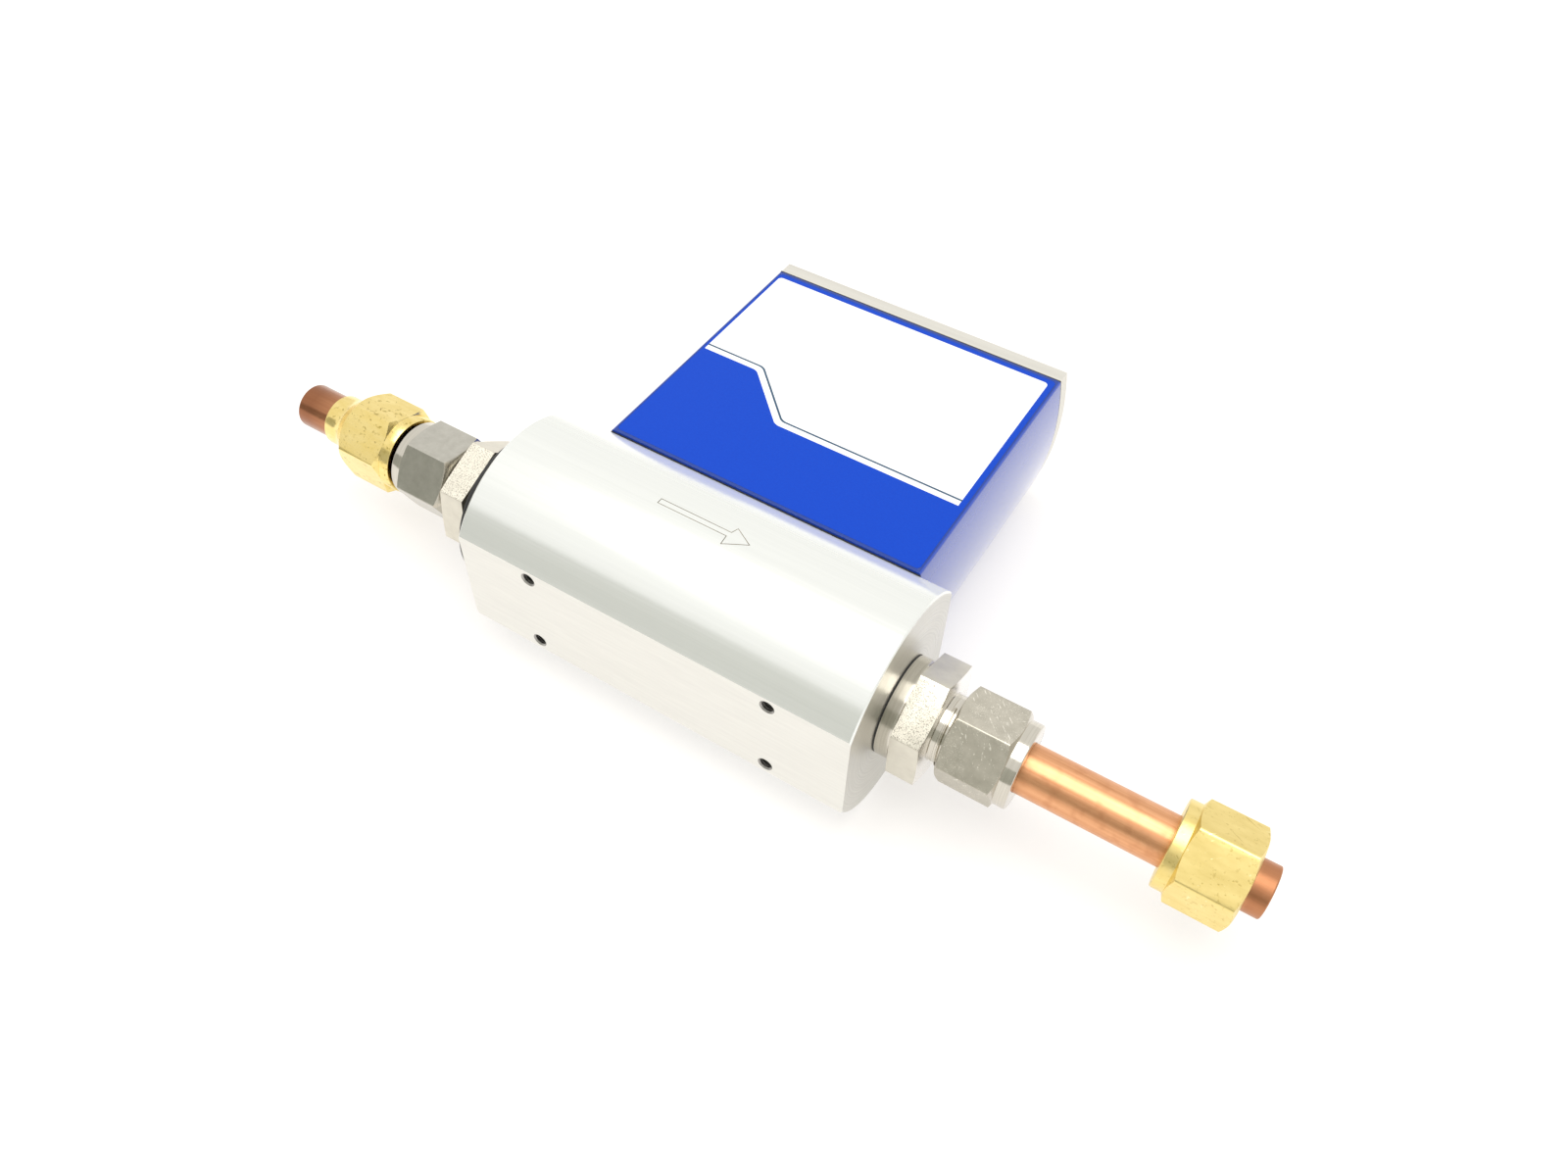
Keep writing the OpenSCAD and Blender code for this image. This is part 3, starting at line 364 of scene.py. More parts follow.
def addSpecks(mat, place, s, colour, normal):
    # pits or specks, gathered in patches
    mask = spread(mat, grainNoise(mat, place, (s["scale"],) * 3, 2), 0, 1, *s["span"])
    patches = grainNoise(mat, place, (s["patch"],) * 3, 2)
    patch = spread(mat, patches, 0, 1, *s.get("patchSpan", (0.35, 0.6)))
    mask = addNode(mat, "Math", {0: mask, 1: patch}, operation="MULTIPLY").outputs[0]
    colour = mixColour(mat, mask, colour, (*s["colour"], 1))
    return colour, sinkIn(mat, mask, s["depth"], normal)


def addFade(mat, place, s, colour):
    # the colour turns darker along X, towards the bare tube ends
    along = addNode(mat, "SeparateXYZ", {"Vector": place}).outputs["X"]
    mask = spread(mat, along, 0, 0.75, s["low"], s["high"])
    return mixColour(mat, mask, colour, (*s["colour"], 1))


def addScratches(mat, place, s, colour, normal):
    # a few long thin lines at a slant
    turned = addNode(mat, "Mapping", {"Vector": place, "Rotation": s["turn"]}).outputs["Vector"]
    lines = grainNoise(mat, turned, s["scale"], 2)
    mask = spread(mat, lines, 0, 1, *s["span"])
    colour = mixColour(mat, mask, colour, (*s["colour"], 1))
    return colour, sinkIn(mat, mask, s["depth"], normal)


def makeFinish(name, v):
    # one finish from its dictionary: streaks or rings, cloudy wear, then specks, fades and scratches
    mat = bpy.data.materials.new(name)
    mat.use_nodes = True
    shader = mat.node_tree.nodes["Principled BSDF"]
    links = mat.node_tree.links
    for key, value in v["sockets"].items():
        shader.inputs[key].default_value = value
    place = addNode(mat, "TexCoord").outputs["Object"]
    if "rings" in v:
        grain = ringNoise(mat, place, v["ringCentre"], v["ringKeep"], v["rings"])
    else:
        grain = grainNoise(mat, place, v["streaks"], v.get("detail", 5))
    fac = spread(mat, grain, 0, 1, *v.get("grainSpan", (0.3, 0.7)))
    colour = mixColour(mat, fac, (*v["dark"], 1), (*v["colour"], 1))
    cloud = grainNoise(mat, place, v.get("cloud", (45, 45, 45)), 3)
    blend = addNode(mat, "Mix", {0: v.get("cloudShare", 0.5), 2: grain, 3: cloud}, data_type="FLOAT")
    rough = spread(mat, blend.outputs[0], *v["roughness"], 0.3, 0.7)
    normal = None
    if "grainBump" in v:
        normal = sinkIn(mat, grain, -v["grainBump"], None)
    if "specks" in v:
        colour, normal = addSpecks(mat, place, v["specks"], colour, normal)
    for fade in v.get("fades", ()):
        colour = addFade(mat, place, fade, colour)
    for scratch in v.get("scratches", ()):
        colour, normal = addScratches(mat, place, scratch, colour, normal)
    links.new(colour, shader.inputs["Base Color"])
    links.new(rough, shader.inputs["Roughness"])
    if "metalFade" in v:
        # less metallic further along Y, which on the block is towards the housing
        along = addNode(mat, "SeparateXYZ", {"Vector": place}).outputs["Y"]
        f = v["metalFade"]
        links.new(spread(mat, along, *f["values"], f["low"], f["high"]), shader.inputs["Metallic"])
    if normal:
        links.new(normal, shader.inputs["Normal"])
    return mat


flowLine = {"ringCentre": (0, axisY, 0), "ringKeep": (0, 1, 1)}
finishes = {
    "blockFlank": {
        "colour": (0.83, 0.85, 0.83), "dark": (0.79, 0.81, 0.79), "roughness": (0.16, 0.24),
        "streaks": (10, 2200, 2200), "grainBump": 0.0005, "cloud": (20, 60, 60), "cloudShare": 0.35,
        "metalFade": {"low": 0.037, "high": 0.047, "values": (0.72, 0.1)}, "sockets": {},
    },
    "blockEnd": {
        "colour": (0.7, 0.69, 0.64), "dark": (0.54, 0.53, 0.49), "roughness": (0.24, 0.4),
        "rings": 1800, **flowLine, "grainBump": 0.003, "sockets": {"Metallic": 1.0},
    },
    "blockBase": {
        "colour": (0.8, 0.79, 0.745), "dark": (0.74, 0.73, 0.69), "roughness": (0.3, 0.45),
        "streaks": (60, 900, 900), "grainBump": 0.002, "cloud": (30, 30, 90), "cloudShare": 0.6,
        "sockets": {"Metallic": 0.6},
    },
    # the engraved line's walls and floor are coloured darker than the flank: painted shade in the groove
    "engravingPaintedShade": {
        "colour": (0.56, 0.52, 0.44), "dark": (0.46, 0.42, 0.35), "roughness": (0.4, 0.55),
        "streaks": (900, 900, 900), "sockets": {"Metallic": 0.2},
    },
    "holeShade": {
        "colour": (0.45, 0.44, 0.42), "dark": (0.3, 0.29, 0.28), "roughness": (0.3, 0.45),
        "streaks": (700, 700, 700), "sockets": {"Metallic": 1.0},
    },
    "turnedSteel": {
        "colour": (0.68, 0.65, 0.58), "dark": (0.56, 0.53, 0.465), "roughness": (0.08, 0.18),
        "streaks": (2600, 50, 50), "grainBump": 0.0008, "sockets": {"Metallic": 1.0},
    },
    # a real faced, turned finish, with its colour raised near white: a painted highlight for the bright
    # surroundings the end face reflects
    "facedSteelPaintedBright": {
        "colour": (0.98, 0.96, 0.92), "dark": (0.9, 0.88, 0.84), "roughness": (0.2, 0.3),
        "rings": 2400, **flowLine, "grainBump": 0.001, "sockets": {"Metallic": 1.0},
    },
    "hexSteel": {
        "colour": (0.72, 0.69, 0.6), "dark": (0.62, 0.59, 0.51), "roughness": (0.28, 0.4),
        "streaks": (260, 260, 260), "grainBump": 0.003, "sockets": {"Metallic": 1.0},
    },
    # real pits, on a base colour lighter than hexSteel: painted light for the hexagon sides turned up to the
    # lamp
    "pittedHexSteelPaintedLit": {
        "colour": (0.82, 0.79, 0.69), "dark": (0.72, 0.69, 0.6), "roughness": (0.28, 0.4),
        "streaks": (260, 260, 260), "grainBump": 0.003, "sockets": {"Metallic": 1.0},
        "specks": {"scale": 3600, "span": (0.52, 0.62), "patch": 300, "patchSpan": (0.2, 0.45),
                   "colour": (0.3, 0.27, 0.22), "depth": 0.008},
    },
    "nutSteel": {
        "colour": (0.58, 0.55, 0.475), "dark": (0.49, 0.465, 0.395), "roughness": (0.38, 0.52),
        "streaks": (420, 420, 420), "grainBump": 0.003, "sockets": {"Metallic": 1.0},
        "specks": {"scale": 4200, "span": (0.6, 0.66), "patch": 150, "colour": (0.85, 0.82, 0.73),
                   "depth": 0.006},
        "scratches": [
            {"turn": (0.4, 0.3, 0.9), "scale": (90, 2200, 900), "span": (0.66, 0.7),
             "colour": (0.85, 0.82, 0.74), "depth": 0.004},
        ],
    },
    "darkNutSteel": {
        "colour": (0.58, 0.565, 0.51), "dark": (0.5, 0.485, 0.435), "roughness": (0.15, 0.26),
        "streaks": (420, 420, 420), "grainBump": 0.002, "sockets": {"Metallic": 1.0},
    },
    "brass": {
        "colour": (0.91, 0.74, 0.31), "dark": (0.81, 0.64, 0.235), "roughness": (0.26, 0.4),
        "streaks": (160, 420, 420), "grainBump": 0.002, "sockets": {"Metallic": 1.0},
        "specks": {"scale": 900, "span": (0.6, 0.7), "patch": 120, "colour": (0.62, 0.47, 0.15),
                   "depth": 0.01},
        "scratches": [
            {"turn": (0.3, 0.5, 0.6), "scale": (40, 1500, 300), "span": (0.69, 0.74),
             "colour": (0.6, 0.45, 0.14), "depth": 0.008},
            {"turn": (0.2, -0.4, -0.8), "scale": (80, 1200, 600), "span": (0.68, 0.72),
             "colour": (0.95, 0.83, 0.45), "depth": 0.008},
        ],
    },
    "copper": {
        "colour": (0.84, 0.45, 0.24), "dark": (0.66, 0.31, 0.15), "roughness": (0.28, 0.44),
        "streaks": (26, 1300, 1300), "grainBump": 0.002, "cloud": (160, 70, 70), "cloudShare": 0.5,
        "sockets": {"Metallic": 1.0},
        "specks": {"scale": 260, "span": (0.5, 0.8), "patch": 90, "colour": (0.6, 0.27, 0.13),
                   "depth": 0.001},
        "fades": [{"low": 0.136, "high": 0.1435, "colour": (0.42, 0.17, 0.08)}],
    },
    "darkCopper": {
        "colour": (0.62, 0.3, 0.155), "dark": (0.45, 0.19, 0.09), "roughness": (0.16, 0.3),
        "streaks": (30, 1100, 1100), "grainBump": 0.002, "cloud": (160, 70, 70), "cloudShare": 0.5,
        "sockets": {"Metallic": 1.0},
        "fades": [{"low": -0.122, "high": -0.132, "colour": (0.26, 0.095, 0.045)}],
    },
    "flareBrass": {
        "colour": (0.98, 0.8, 0.35), "dark": (0.86, 0.67, 0.23), "roughness": (0.12, 0.24),
        "streaks": (140, 420, 420), "grainBump": 0.002, "sockets": {"Metallic": 1.0},
        "specks": {"scale": 700, "span": (0.58, 0.72), "patch": 130, "colour": (0.52, 0.39, 0.1),
                   "depth": 0.008},
        "scratches": [
            {"turn": (0.1, 0.6, 0.9), "scale": (70, 1300, 700), "span": (0.66, 0.72),
             "colour": (0.42, 0.3, 0.08), "depth": 0.01},
        ],
    },
    "rubber": {
        "colour": (0.022, 0.022, 0.022), "dark": (0.012, 0.012, 0.012), "roughness": (0.5, 0.68),
        "streaks": (900, 900, 900), "grainBump": 0.01, "sockets": {},
    },
    "blackAnodised": {
        "colour": (0.02, 0.02, 0.021), "dark": (0.013, 0.013, 0.014), "roughness": (0.28, 0.42),
        "streaks": (2400, 40, 40), "grainBump": 0.0015, "sockets": {"Specular IOR Level": 0.5},
    },
    "bluePaint": {
        "colour": (0.003, 0.052, 0.42), "dark": (0.003, 0.046, 0.39), "roughness": (0.2, 0.28),
        "streaks": (500, 120, 500), "grainBump": 0.0008, "cloud": (30, 30, 30),
        "sockets": {"Specular IOR Level": 0.35, "Coat Weight": 1.0, "Coat Roughness": 0.1},
    },
    # the housing's blue paint made darker for its front faces round the foil: painted shade
    "bluePaintShadedFront": {
        "colour": (0.006, 0.04, 0.27), "dark": (0.005, 0.034, 0.24), "roughness": (0.2, 0.28),
        "streaks": (500, 120, 500), "grainBump": 0.0008, "cloud": (30, 30, 30),
        "sockets": {"Specular IOR Level": 0.35, "Coat Weight": 0.3, "Coat Roughness": 0.1},
    },
    "foilBlue": {
        "colour": (0.002, 0.054, 0.48), "dark": (0.002, 0.048, 0.45), "roughness": (0.3, 0.4),
        "streaks": (1400, 1400, 1400), "grainBump": 0.002, "cloud": (25, 25, 25),
        "sockets": {"Specular IOR Level": 0.15},
    },
    "foilWhite": {
        "colour": (0.86, 0.87, 0.88), "dark": (0.83, 0.84, 0.855), "roughness": (0.3, 0.4),
        "streaks": (1400, 1400, 1400), "grainBump": 0.002, "cloud": (25, 25, 25),
        "sockets": {"Specular IOR Level": 0.45},
    },
    "foilSlate": {
        "colour": (0.025, 0.075, 0.14), "dark": (0.02, 0.062, 0.12), "roughness": (0.3, 0.4),
        "streaks": (1400, 1400, 1400), "grainBump": 0.002, "sockets": {"Specular IOR Level": 0.45},
    },
    "coverMetal": {
        "colour": (0.73, 0.715, 0.665), "dark": (0.665, 0.65, 0.6), "roughness": (0.32, 0.44),
        "streaks": (18, 1100, 1100), "grainBump": 0.003, "sockets": {"Metallic": 0.8},
    },
    "screwSteel": {
        "colour": (0.6, 0.6, 0.6), "dark": (0.48, 0.48, 0.48), "roughness": (0.18, 0.32),
        "streaks": (500, 2200, 500), "grainBump": 0.002, "sockets": {"Metallic": 1.0},
    },
    "nickel": {
        "colour": (0.74, 0.72, 0.66), "dark": (0.64, 0.62, 0.56), "roughness": (0.12, 0.22),
        "streaks": (240, 2400, 240), "grainBump": 0.0015, "sockets": {"Metallic": 1.0},
    },
    "gold": {
        "colour": (0.9, 0.68, 0.27), "dark": (0.8, 0.58, 0.2), "roughness": (0.12, 0.2),
        "streaks": (900, 300, 900), "sockets": {"Metallic": 1.0},
    },
    "blackMoulded": {
        "colour": (0.02, 0.02, 0.021), "dark": (0.014, 0.014, 0.015), "roughness": (0.36, 0.52),
        "streaks": (1600, 1600, 1600), "grainBump": 0.006, "sockets": {},
    },
    "chipBlack": {
        "colour": (0.03, 0.03, 0.032), "dark": (0.02, 0.02, 0.022), "roughness": (0.45, 0.6),
        "streaks": (2600, 2600, 2600), "grainBump": 0.008, "sockets": {},
    },
    "boardGreen": {
        "colour": (0.015, 0.2, 0.07), "dark": (0.01, 0.13, 0.05), "roughness": (0.3, 0.42),
        "streaks": (260, 260, 260), "detail": 0, "grainSpan": (0.47, 0.5), "grainBump": 0.02, "sockets": {},
    },
    "canSleeve": {
        "colour": (0.05, 0.05, 0.12), "dark": (0.04, 0.04, 0.09), "roughness": (0.25, 0.4),
        "streaks": (300, 300, 300), "sockets": {},
    },
    "lightGuide": {
        "colour": (0.8, 0.86, 0.83), "dark": (0.72, 0.79, 0.76), "roughness": (0.12, 0.2),
        "streaks": (500, 500, 500),
        "sockets": {"Transmission Weight": 0.6, "IOR": 1.49},
    },
}
made = {name: makeFinish(name, v) for name, v in finishes.items()}
print("stage:", len(made), "finishes made")


# the machined block: engraved arrow and tapped holes cut into the frame's own block

block = {
    "arrow": ((-13, 25.45), (6.7, 25.45), (6.9, 22.7), (13.1, 26.05), (7.7, 29.3), (7.1, 27.25),
              (-13, 27.25)),
    "arrowLine": 0.2,
    "arrowFloor": 28.95,
    "arrowTop": 32,
    "arrowReach": 16,
    "crestRadius": 29.4,
    "crestFrom": 28,
    "boreRadius": 15,
    "facing": 0.98,
    "holesX": 34.5,
    "holesZ": 12,
    "holeReach": 2.4,
    "holeDepth": 12,
    "tapInner": 1.5,
    "tapOuter": 1.98,
    "tapStart": 0.12,
    "tapDepth": 7.3,
    "pitch": 0.7,
    "rootShare": 0.86,
    "crestShare": 0.12,
    "coilSteps": 32,
    "smooth": 20,
}


def insideLine(points, gap):
    # the same closed line, drawn inward by the gap (points run anticlockwise)
    corners = [Vector(point) for point in points]
    moved = []
    for i, here in enumerate(corners):
        before = (here - corners[i - 1]).normalized()
        after = (corners[(i + 1) % len(corners)] - here).normalized()
        one, two = Vector((-before.y, before.x)), Vector((-after.y, after.x))
        moved.append(here + (one + two) * gap / (1 + one.dot(two)))
    return moved


def arrowCutter(v):
    # a thin closed line between two outlines, cut flat into the round crest
    outer, inner = v["arrow"], insideLine(v["arrow"], v["arrowLine"])
    bm = bmesh.new()
    low, high = v["arrowFloor"] * mm, v["arrowTop"] * mm
    rows = [[bm.verts.new((x * mm, y * mm, height)) for x, y in line]
            for line, height in ((outer, low), (inner, low), (inner, high), (outer, high))]
    for k in range(4):
        a, b = rows[k], rows[(k + 1) % 4]
        for i in range(len(a)):
            j = (i + 1) % len(a)
            bm.faces.new((a[i], a[j], b[j], b[i]))
    bmesh.ops.recalc_face_normals(bm, faces=bm.faces)
    return bm


def blockFaceKind(face, v):
    # 0 flank and seat, 1 turned ends, 2 mounting face, 3 inside holes, 4 engraved line
    centre, normal = face.calc_center_median() / mm, face.normal
    x, y, z = abs(centre.x), centre.y, abs(centre.z)
    radius = math.hypot(y - axisY / mm, z)
    if y < 0.2 and normal.y < -v["facing"]:
        return 2
    if abs(normal.x) > v["facing"]:
        return 1
    atHole = abs(x - v["holesX"]) < v["holeReach"] and abs(z - v["holesZ"]) < v["holeReach"]
    if atHole and y < v["holeDepth"] and abs(normal.y) < v["facing"]:
        return 3
    atArrow = centre.z > v["crestFrom"] and x < v["arrowReach"]
    if atArrow and radius < v["crestRadius"] - 0.02:
        return 4
    return 0 if radius > v["boreRadius"] else 3


def trueNormals(mesh, radius):
    # the flank shades as one cylinder and the machined faces as flat, whatever faces the cuts leave
    normals = [corner.vector.copy() for corner in mesh.corner_normals]
    for polygon in mesh.polygons:
        if polygon.material_index in (1, 2):
            for corner in polygon.loop_indices:
                normals[corner] = polygon.normal.copy()
        if polygon.material_index:
            continue
        out = [Vector((0, mesh.vertices[k].co.y - axisY, mesh.vertices[k].co.z)) for k in polygon.vertices]
        if all(abs(o.length - radius * mm) < 0.03 * mm for o in out):
            for corner, o in zip(polygon.loop_indices, out):
                normals[corner] = o.normalized()
    mesh.normals_split_custom_set(normals)


def makeBlock(v):
    bm = copyOf("flow_body")
    bm = combine(bm, arrowCutter(v), "DIFFERENCE")
    coils = []
    for x in (-v["holesX"], v["holesX"]):
        for z in (-v["holesZ"], v["holesZ"]):
            coil = threadOf(v, v["tapInner"], v["tapOuter"], v["tapDepth"], 0)
            coils.append(standUp(coil, x, v["tapStart"], z))
    bm = combine(bm, join(*coils), "DIFFERENCE")
    for face in bm.faces:
        face.material_index = blockFaceKind(face, v)
    looks = [made[k] for k in ("blockFlank", "blockEnd", "blockBase", "holeShade", "engravingPaintedShade")]
    piece = finishPiece("machined_block", bm, "meter", looks, ("flow_body",), v["smooth"])
    trueNormals(piece.data, v["crestRadius"])


makeBlock(block)
print("stage: block machined")


# tube fittings: shank, collar, hexagon, relief and threaded neck, drawn from the hexagon's inner face

fitting = {
    "shank": 12.5, "shankRadius": 10.3, "collar": 4, "collarRadius": 13,
    "flats": 27.3, "hexLength": 7.6, "bevel": 0.3, "ridge": 0.14,
    "relief": 1.3, "reliefRadius": 8.7, "rootRadius": 8.78, "crestRadius": 9.35,
    "pitch": 1.27, "threadEnd": 19.6, "bore": 5.15, "socket": 7.1, "socketRadius": 6.45,
    "mouthRadius": 7.51, "coneStart": 18.0, "coneRadius": 6.76, "pittedLitWay": Vector((0, -0.5, 0.866)),
    "collarLip": 0.18, "rootShare": 0.84, "crestShare": 0.16, "threadSink": 0.3, "threadLead": 0.1,
    "pittedLitShare": 0.87, "coilSteps": 72, "barEnds": (-20, 24), "smooth": 28,
}
fittingPlaces = (
    ("outlet_fitting", 60.5, 1, 2.9),
    ("inlet_fitting", -67.5, -1, 6.9),
)


def bevelCone(flats, bevel):
    # where the turned-down corners of a hexagon start on its end face, and how far in they reach
    corner = flats / math.sqrt(3)
    face = flats / 2 - bevel / 4
    return face, corner + 1, bevel * (corner + 1 - face) / (corner - face)


def fittingFaceKind(face, v):
    # 0 turned, 1 the hexagon's sides, 2 its faced end
    centre = face.calc_center_median() / mm
    far = math.hypot(centre.y, centre.z)
    if abs(face.normal.x) < 0.2 and far > v["collarRadius"] + 0.3:
        return 1
    atEnd = v["hexLength"] - 0.6 < centre.x < v["hexLength"] + 0.1
    return 2 if atEnd and face.normal.x > 0.3 and far > v["reliefRadius"] + 0.3 else 0


def makeFitting(name, start, way, angle, v):
    face, wide, reach = bevelCone(v["flats"], v["bevel"])
    end, length, lip = v["threadEnd"], v["hexLength"], v["collarRadius"] - v["collarLip"]
    threadStart = length + v["relief"] + v["threadLead"]
    body = spinProfile((
        (-v["collar"] - v["shank"], v["shankRadius"], 0.8), (-v["collar"], v["shankRadius"]),
        (-v["collar"], v["collarRadius"], 0.12), (-0.4, v["collarRadius"]), (-0.25, lip), (0, lip),
        (0, wide), (length - reach, wide), (length, face), (length, v["reliefRadius"], 0.3),
        (length + v["relief"], v["reliefRadius"]), (threadStart, v["rootRadius"]),
        (end, v["rootRadius"], 0.4), (end, v["mouthRadius"]),
        (v["coneStart"], v["coneRadius"]), (v["coneStart"], v["socketRadius"]),
        (v["socket"], v["socketRadius"]), (v["socket"], v["bore"]), (-v["collar"] - v["shank"], v["bore"]),
    ))
    bar = hexBar(v["flats"], angle, *v["barEnds"], v["ridge"])
    bm = combine(body, bar, "INTERSECT")
    threadLength = end - length - v["relief"] - 0.5
    coil = threadOf(v, v["rootRadius"] - v["threadSink"], v["crestRadius"], threadLength, threadStart)
    bm = combine(bm, coil, "UNION")
    for f in bm.faces:
        f.material_index = fittingFaceKind(f, v)
    layAlong(bm, start, way)
    # the hexagon's sides that face up towards the front get the pits and a lighter colour, painted light
    # where the lamp falls on them
    for f in bm.faces:
        if f.material_index == 1 and f.normal.dot(v["pittedLitWay"]) > v["pittedLitShare"]:
            f.material_index = 3
    # the faced end's near-white steel carries a painted highlight
    looks = [made[k] for k in ("turnedSteel", "hexSteel", "facedSteelPaintedBright", "pittedHexSteelPaintedLit")]
    finishPiece(name + "_turned", bm, "meter", looks, (name,), v["smooth"])


for row in fittingPlaces:
    makeFitting(*row, fitting)
print("stage: fittings made")


# compression nuts, drawn from the threaded mouth

nut = {
    "flats": 22.2, "hexLength": 14.9, "bevel": 0.993, "shoulder": 3.0, "shoulderRadius": 10.8,
    "bore": 6.45, "threadRadius": 9.55, "threadOuter": 10.1, "threadEnd": 9.5,
    "chamberStart": 10.4, "chamberRadius": 8.65, "chamberEnd": 14.9, "mouthRim": 0.28, "mouthDepth": 0.4,
    "pitch": 1.27, "rootShare": 0.84, "crestShare": 0.16, "threadSink": 0.4, "threadLead": 0.05,
    "coilSteps": 60, "barEnds": (-3, 20), "smooth": 28,
}
nutPlaces = (
    ("outlet_nut", 71.3, 1, 20.4, 0.26, "meter", "fitting_steel", "nutSteel", "turnedSteel"),
    ("inlet_nut", -78.3, -1, 35.1, 0.22, "meter", "fitting_steel", "darkNutSteel", "turnedSteel"),
    ("outlet_brass_nut", 142.1, -1, 52.4, 0.5, "outlet_brass_nut", "nut_brass", "brass", "brass"),
)


def makeNut(name, start, way, angle, ridge, body, slotName, hexLook, roundLook, v):
    face, wide, reach = bevelCone(v["flats"], v["bevel"])
    length, end = v["hexLength"], v["hexLength"] + v["shoulder"]
    bm = spinProfile((
        (0, v["threadRadius"] + v["mouthRim"]), (0, face), (reach, wide), (length - reach, wide),
        (length - 0.02, v["shoulderRadius"]), (end, v["shoulderRadius"], 0.45), (end, v["bore"], 0.2),
        (v["chamberEnd"], v["bore"]), (v["chamberEnd"], v["chamberRadius"]),
        (v["chamberStart"], v["chamberRadius"]), (v["threadEnd"], v["threadRadius"]),
        (v["mouthDepth"], v["threadRadius"]),
    ))
    bm = combine(bm, hexBar(v["flats"], angle, *v["barEnds"], ridge), "INTERSECT")
    coil = threadOf(v, v["threadRadius"] - v["threadSink"], v["threadOuter"], v["threadEnd"] - 0.2,
                    v["threadLead"])
    bm = combine(bm, coil, "DIFFERENCE")
    for f in bm.faces:
        place = f.calc_center_median().x / mm
        f.material_index = 0 if place < length - 0.03 and (abs(f.normal.x) < 0.3 or place < 0.6) else 1
    layAlong(bm, start, way)
    finishPiece(name + "_turned", bm, body, [made[hexLook], made[roundLook]], (name,), v["smooth"])


for row in nutPlaces:
    makeNut(*row, nut)


flare = {
    "place": -97.4, "angle": 48.6, "flats": 22.2, "bevel": 0.993, "ridge": 0.22,
    "rimRadius": 10.9, "rimLength": 4.4, "rimRound": 3.08, "hexLength": 12.6, "neckLength": 10.5,
    "neckRadius": 10.9, "tipRadius": 7.3, "neckCuts": 12, "bore": 6.45,
    "threadRadius": 9.55, "threadOuter": 10.1, "threadLength": 11, "seatEnd": 14.1, "mouthRim": 0.4,
    "mouthDepth": 0.4, "pitch": 1.27, "rootShare": 0.84, "crestShare": 0.16, "threadSink": 0.4,
    "threadLead": 0.05, "coilSteps": 60, "barEnds": (-3, 30), "smooth": 28,
}


def makeFlareNut(v):
    hexEnd = v["rimLength"] + v["hexLength"]
    neckStart, total = hexEnd + v["bevel"], hexEnd + v["neckLength"]
    curve, sweep = (total - neckStart) * 2 / 3, v["neckRadius"] - v["tipRadius"]
    wide = v["flats"] / math.sqrt(3) + 1
    neck = [(neckStart + curve * i / v["neckCuts"],
             v["neckRadius"] - sweep * math.sin(math.pi / 2 * i / v["neckCuts"]))
            for i in range(1, v["neckCuts"])]
    bm = spinProfile((
        (0, v["threadRadius"] + v["mouthRim"]), (0, v["rimRadius"], 0.25), (v["rimRound"], v["flats"] / 2),
        (v["rimLength"] + 0.2, wide), (hexEnd - v["bevel"] - 1, wide), (neckStart, v["neckRadius"]),
        *neck, (neckStart + curve, v["tipRadius"]), (total, v["tipRadius"], 0.35), (total, v["bore"]),
        (v["seatEnd"], v["bore"]), (v["threadLength"], v["threadRadius"]),
        (v["mouthDepth"], v["threadRadius"]),
    ))
    bm = combine(bm, hexBar(v["flats"], v["angle"], *v["barEnds"], v["ridge"]), "INTERSECT")
    coil = threadOf(v, v["threadRadius"] - v["threadSink"], v["threadOuter"], v["threadLength"] - 0.3,
                    v["threadLead"])
    bm = combine(bm, coil, "DIFFERENCE")
    layAlong(bm, v["place"], -1)
    finishPiece("inlet_flare_nut_turned", bm, "inlet_flare_nut", [made["flareBrass"]],
                ("inlet_flare_nut",), v["smooth"])


makeFlareNut(flare)
print("stage: nuts made")


tube = {"radius": 6.35, "wall": 1.0, "innerEnd": 0.15, "mouth": 0.4, "burr": 0.12, "smooth": 30}
tubePlaces = (
    ("outlet_tube", 67.6, 1, 79.45, "copper"),
    ("inlet_tube", -74.6, -1, 61.45, "darkCopper"),
)


def makeTube(name, start, way, length, look, v):
    bm = spinProfile((
        (0, v["radius"], v["innerEnd"]), (length, v["radius"], v["mouth"]),
        (length, v["radius"] - v["wall"], v["burr"]), (0, v["radius"] - v["wall"]),
    ), 144, 4)
    layAlong(bm, start, way)
    finishPiece(name + "_drawn", bm, "meter", [made[look]], (name,), v["smooth"])


for row in tubePlaces:
    makeTube(*row, tube)


adapter = {"start": -56.15, "length": 7, "radius": 20.4, "edge": 0.4, "thread": 14.4, "channel": 8,
           "bore": 10.4, "boreDepth": 6.15, "smooth": 30}


def makeAdapter(v):
    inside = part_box("inlet_adapter")[1].x / mm - v["start"]
    bm = spinProfile((
        (-inside, v["channel"]), (-inside, v["thread"], 0.4), (0, v["thread"]), (0, v["radius"], v["edge"]),
        (v["length"], v["radius"], v["edge"]), (v["length"], v["bore"], 0.2), (-v["boreDepth"], v["bore"]),
        (-v["boreDepth"], v["channel"]),
    ), 144, 4)
    layAlong(bm, v["start"], -1)
    finishPiece("inlet_adapter_turned", bm, "meter", [made["blackAnodised"]],
                ("inlet_adapter",), v["smooth"])


makeAdapter(adapter)
print("stage: tubes and adapter made")


# the printed front foil: blue ground, white field and a slate line, each a hair lower than the other

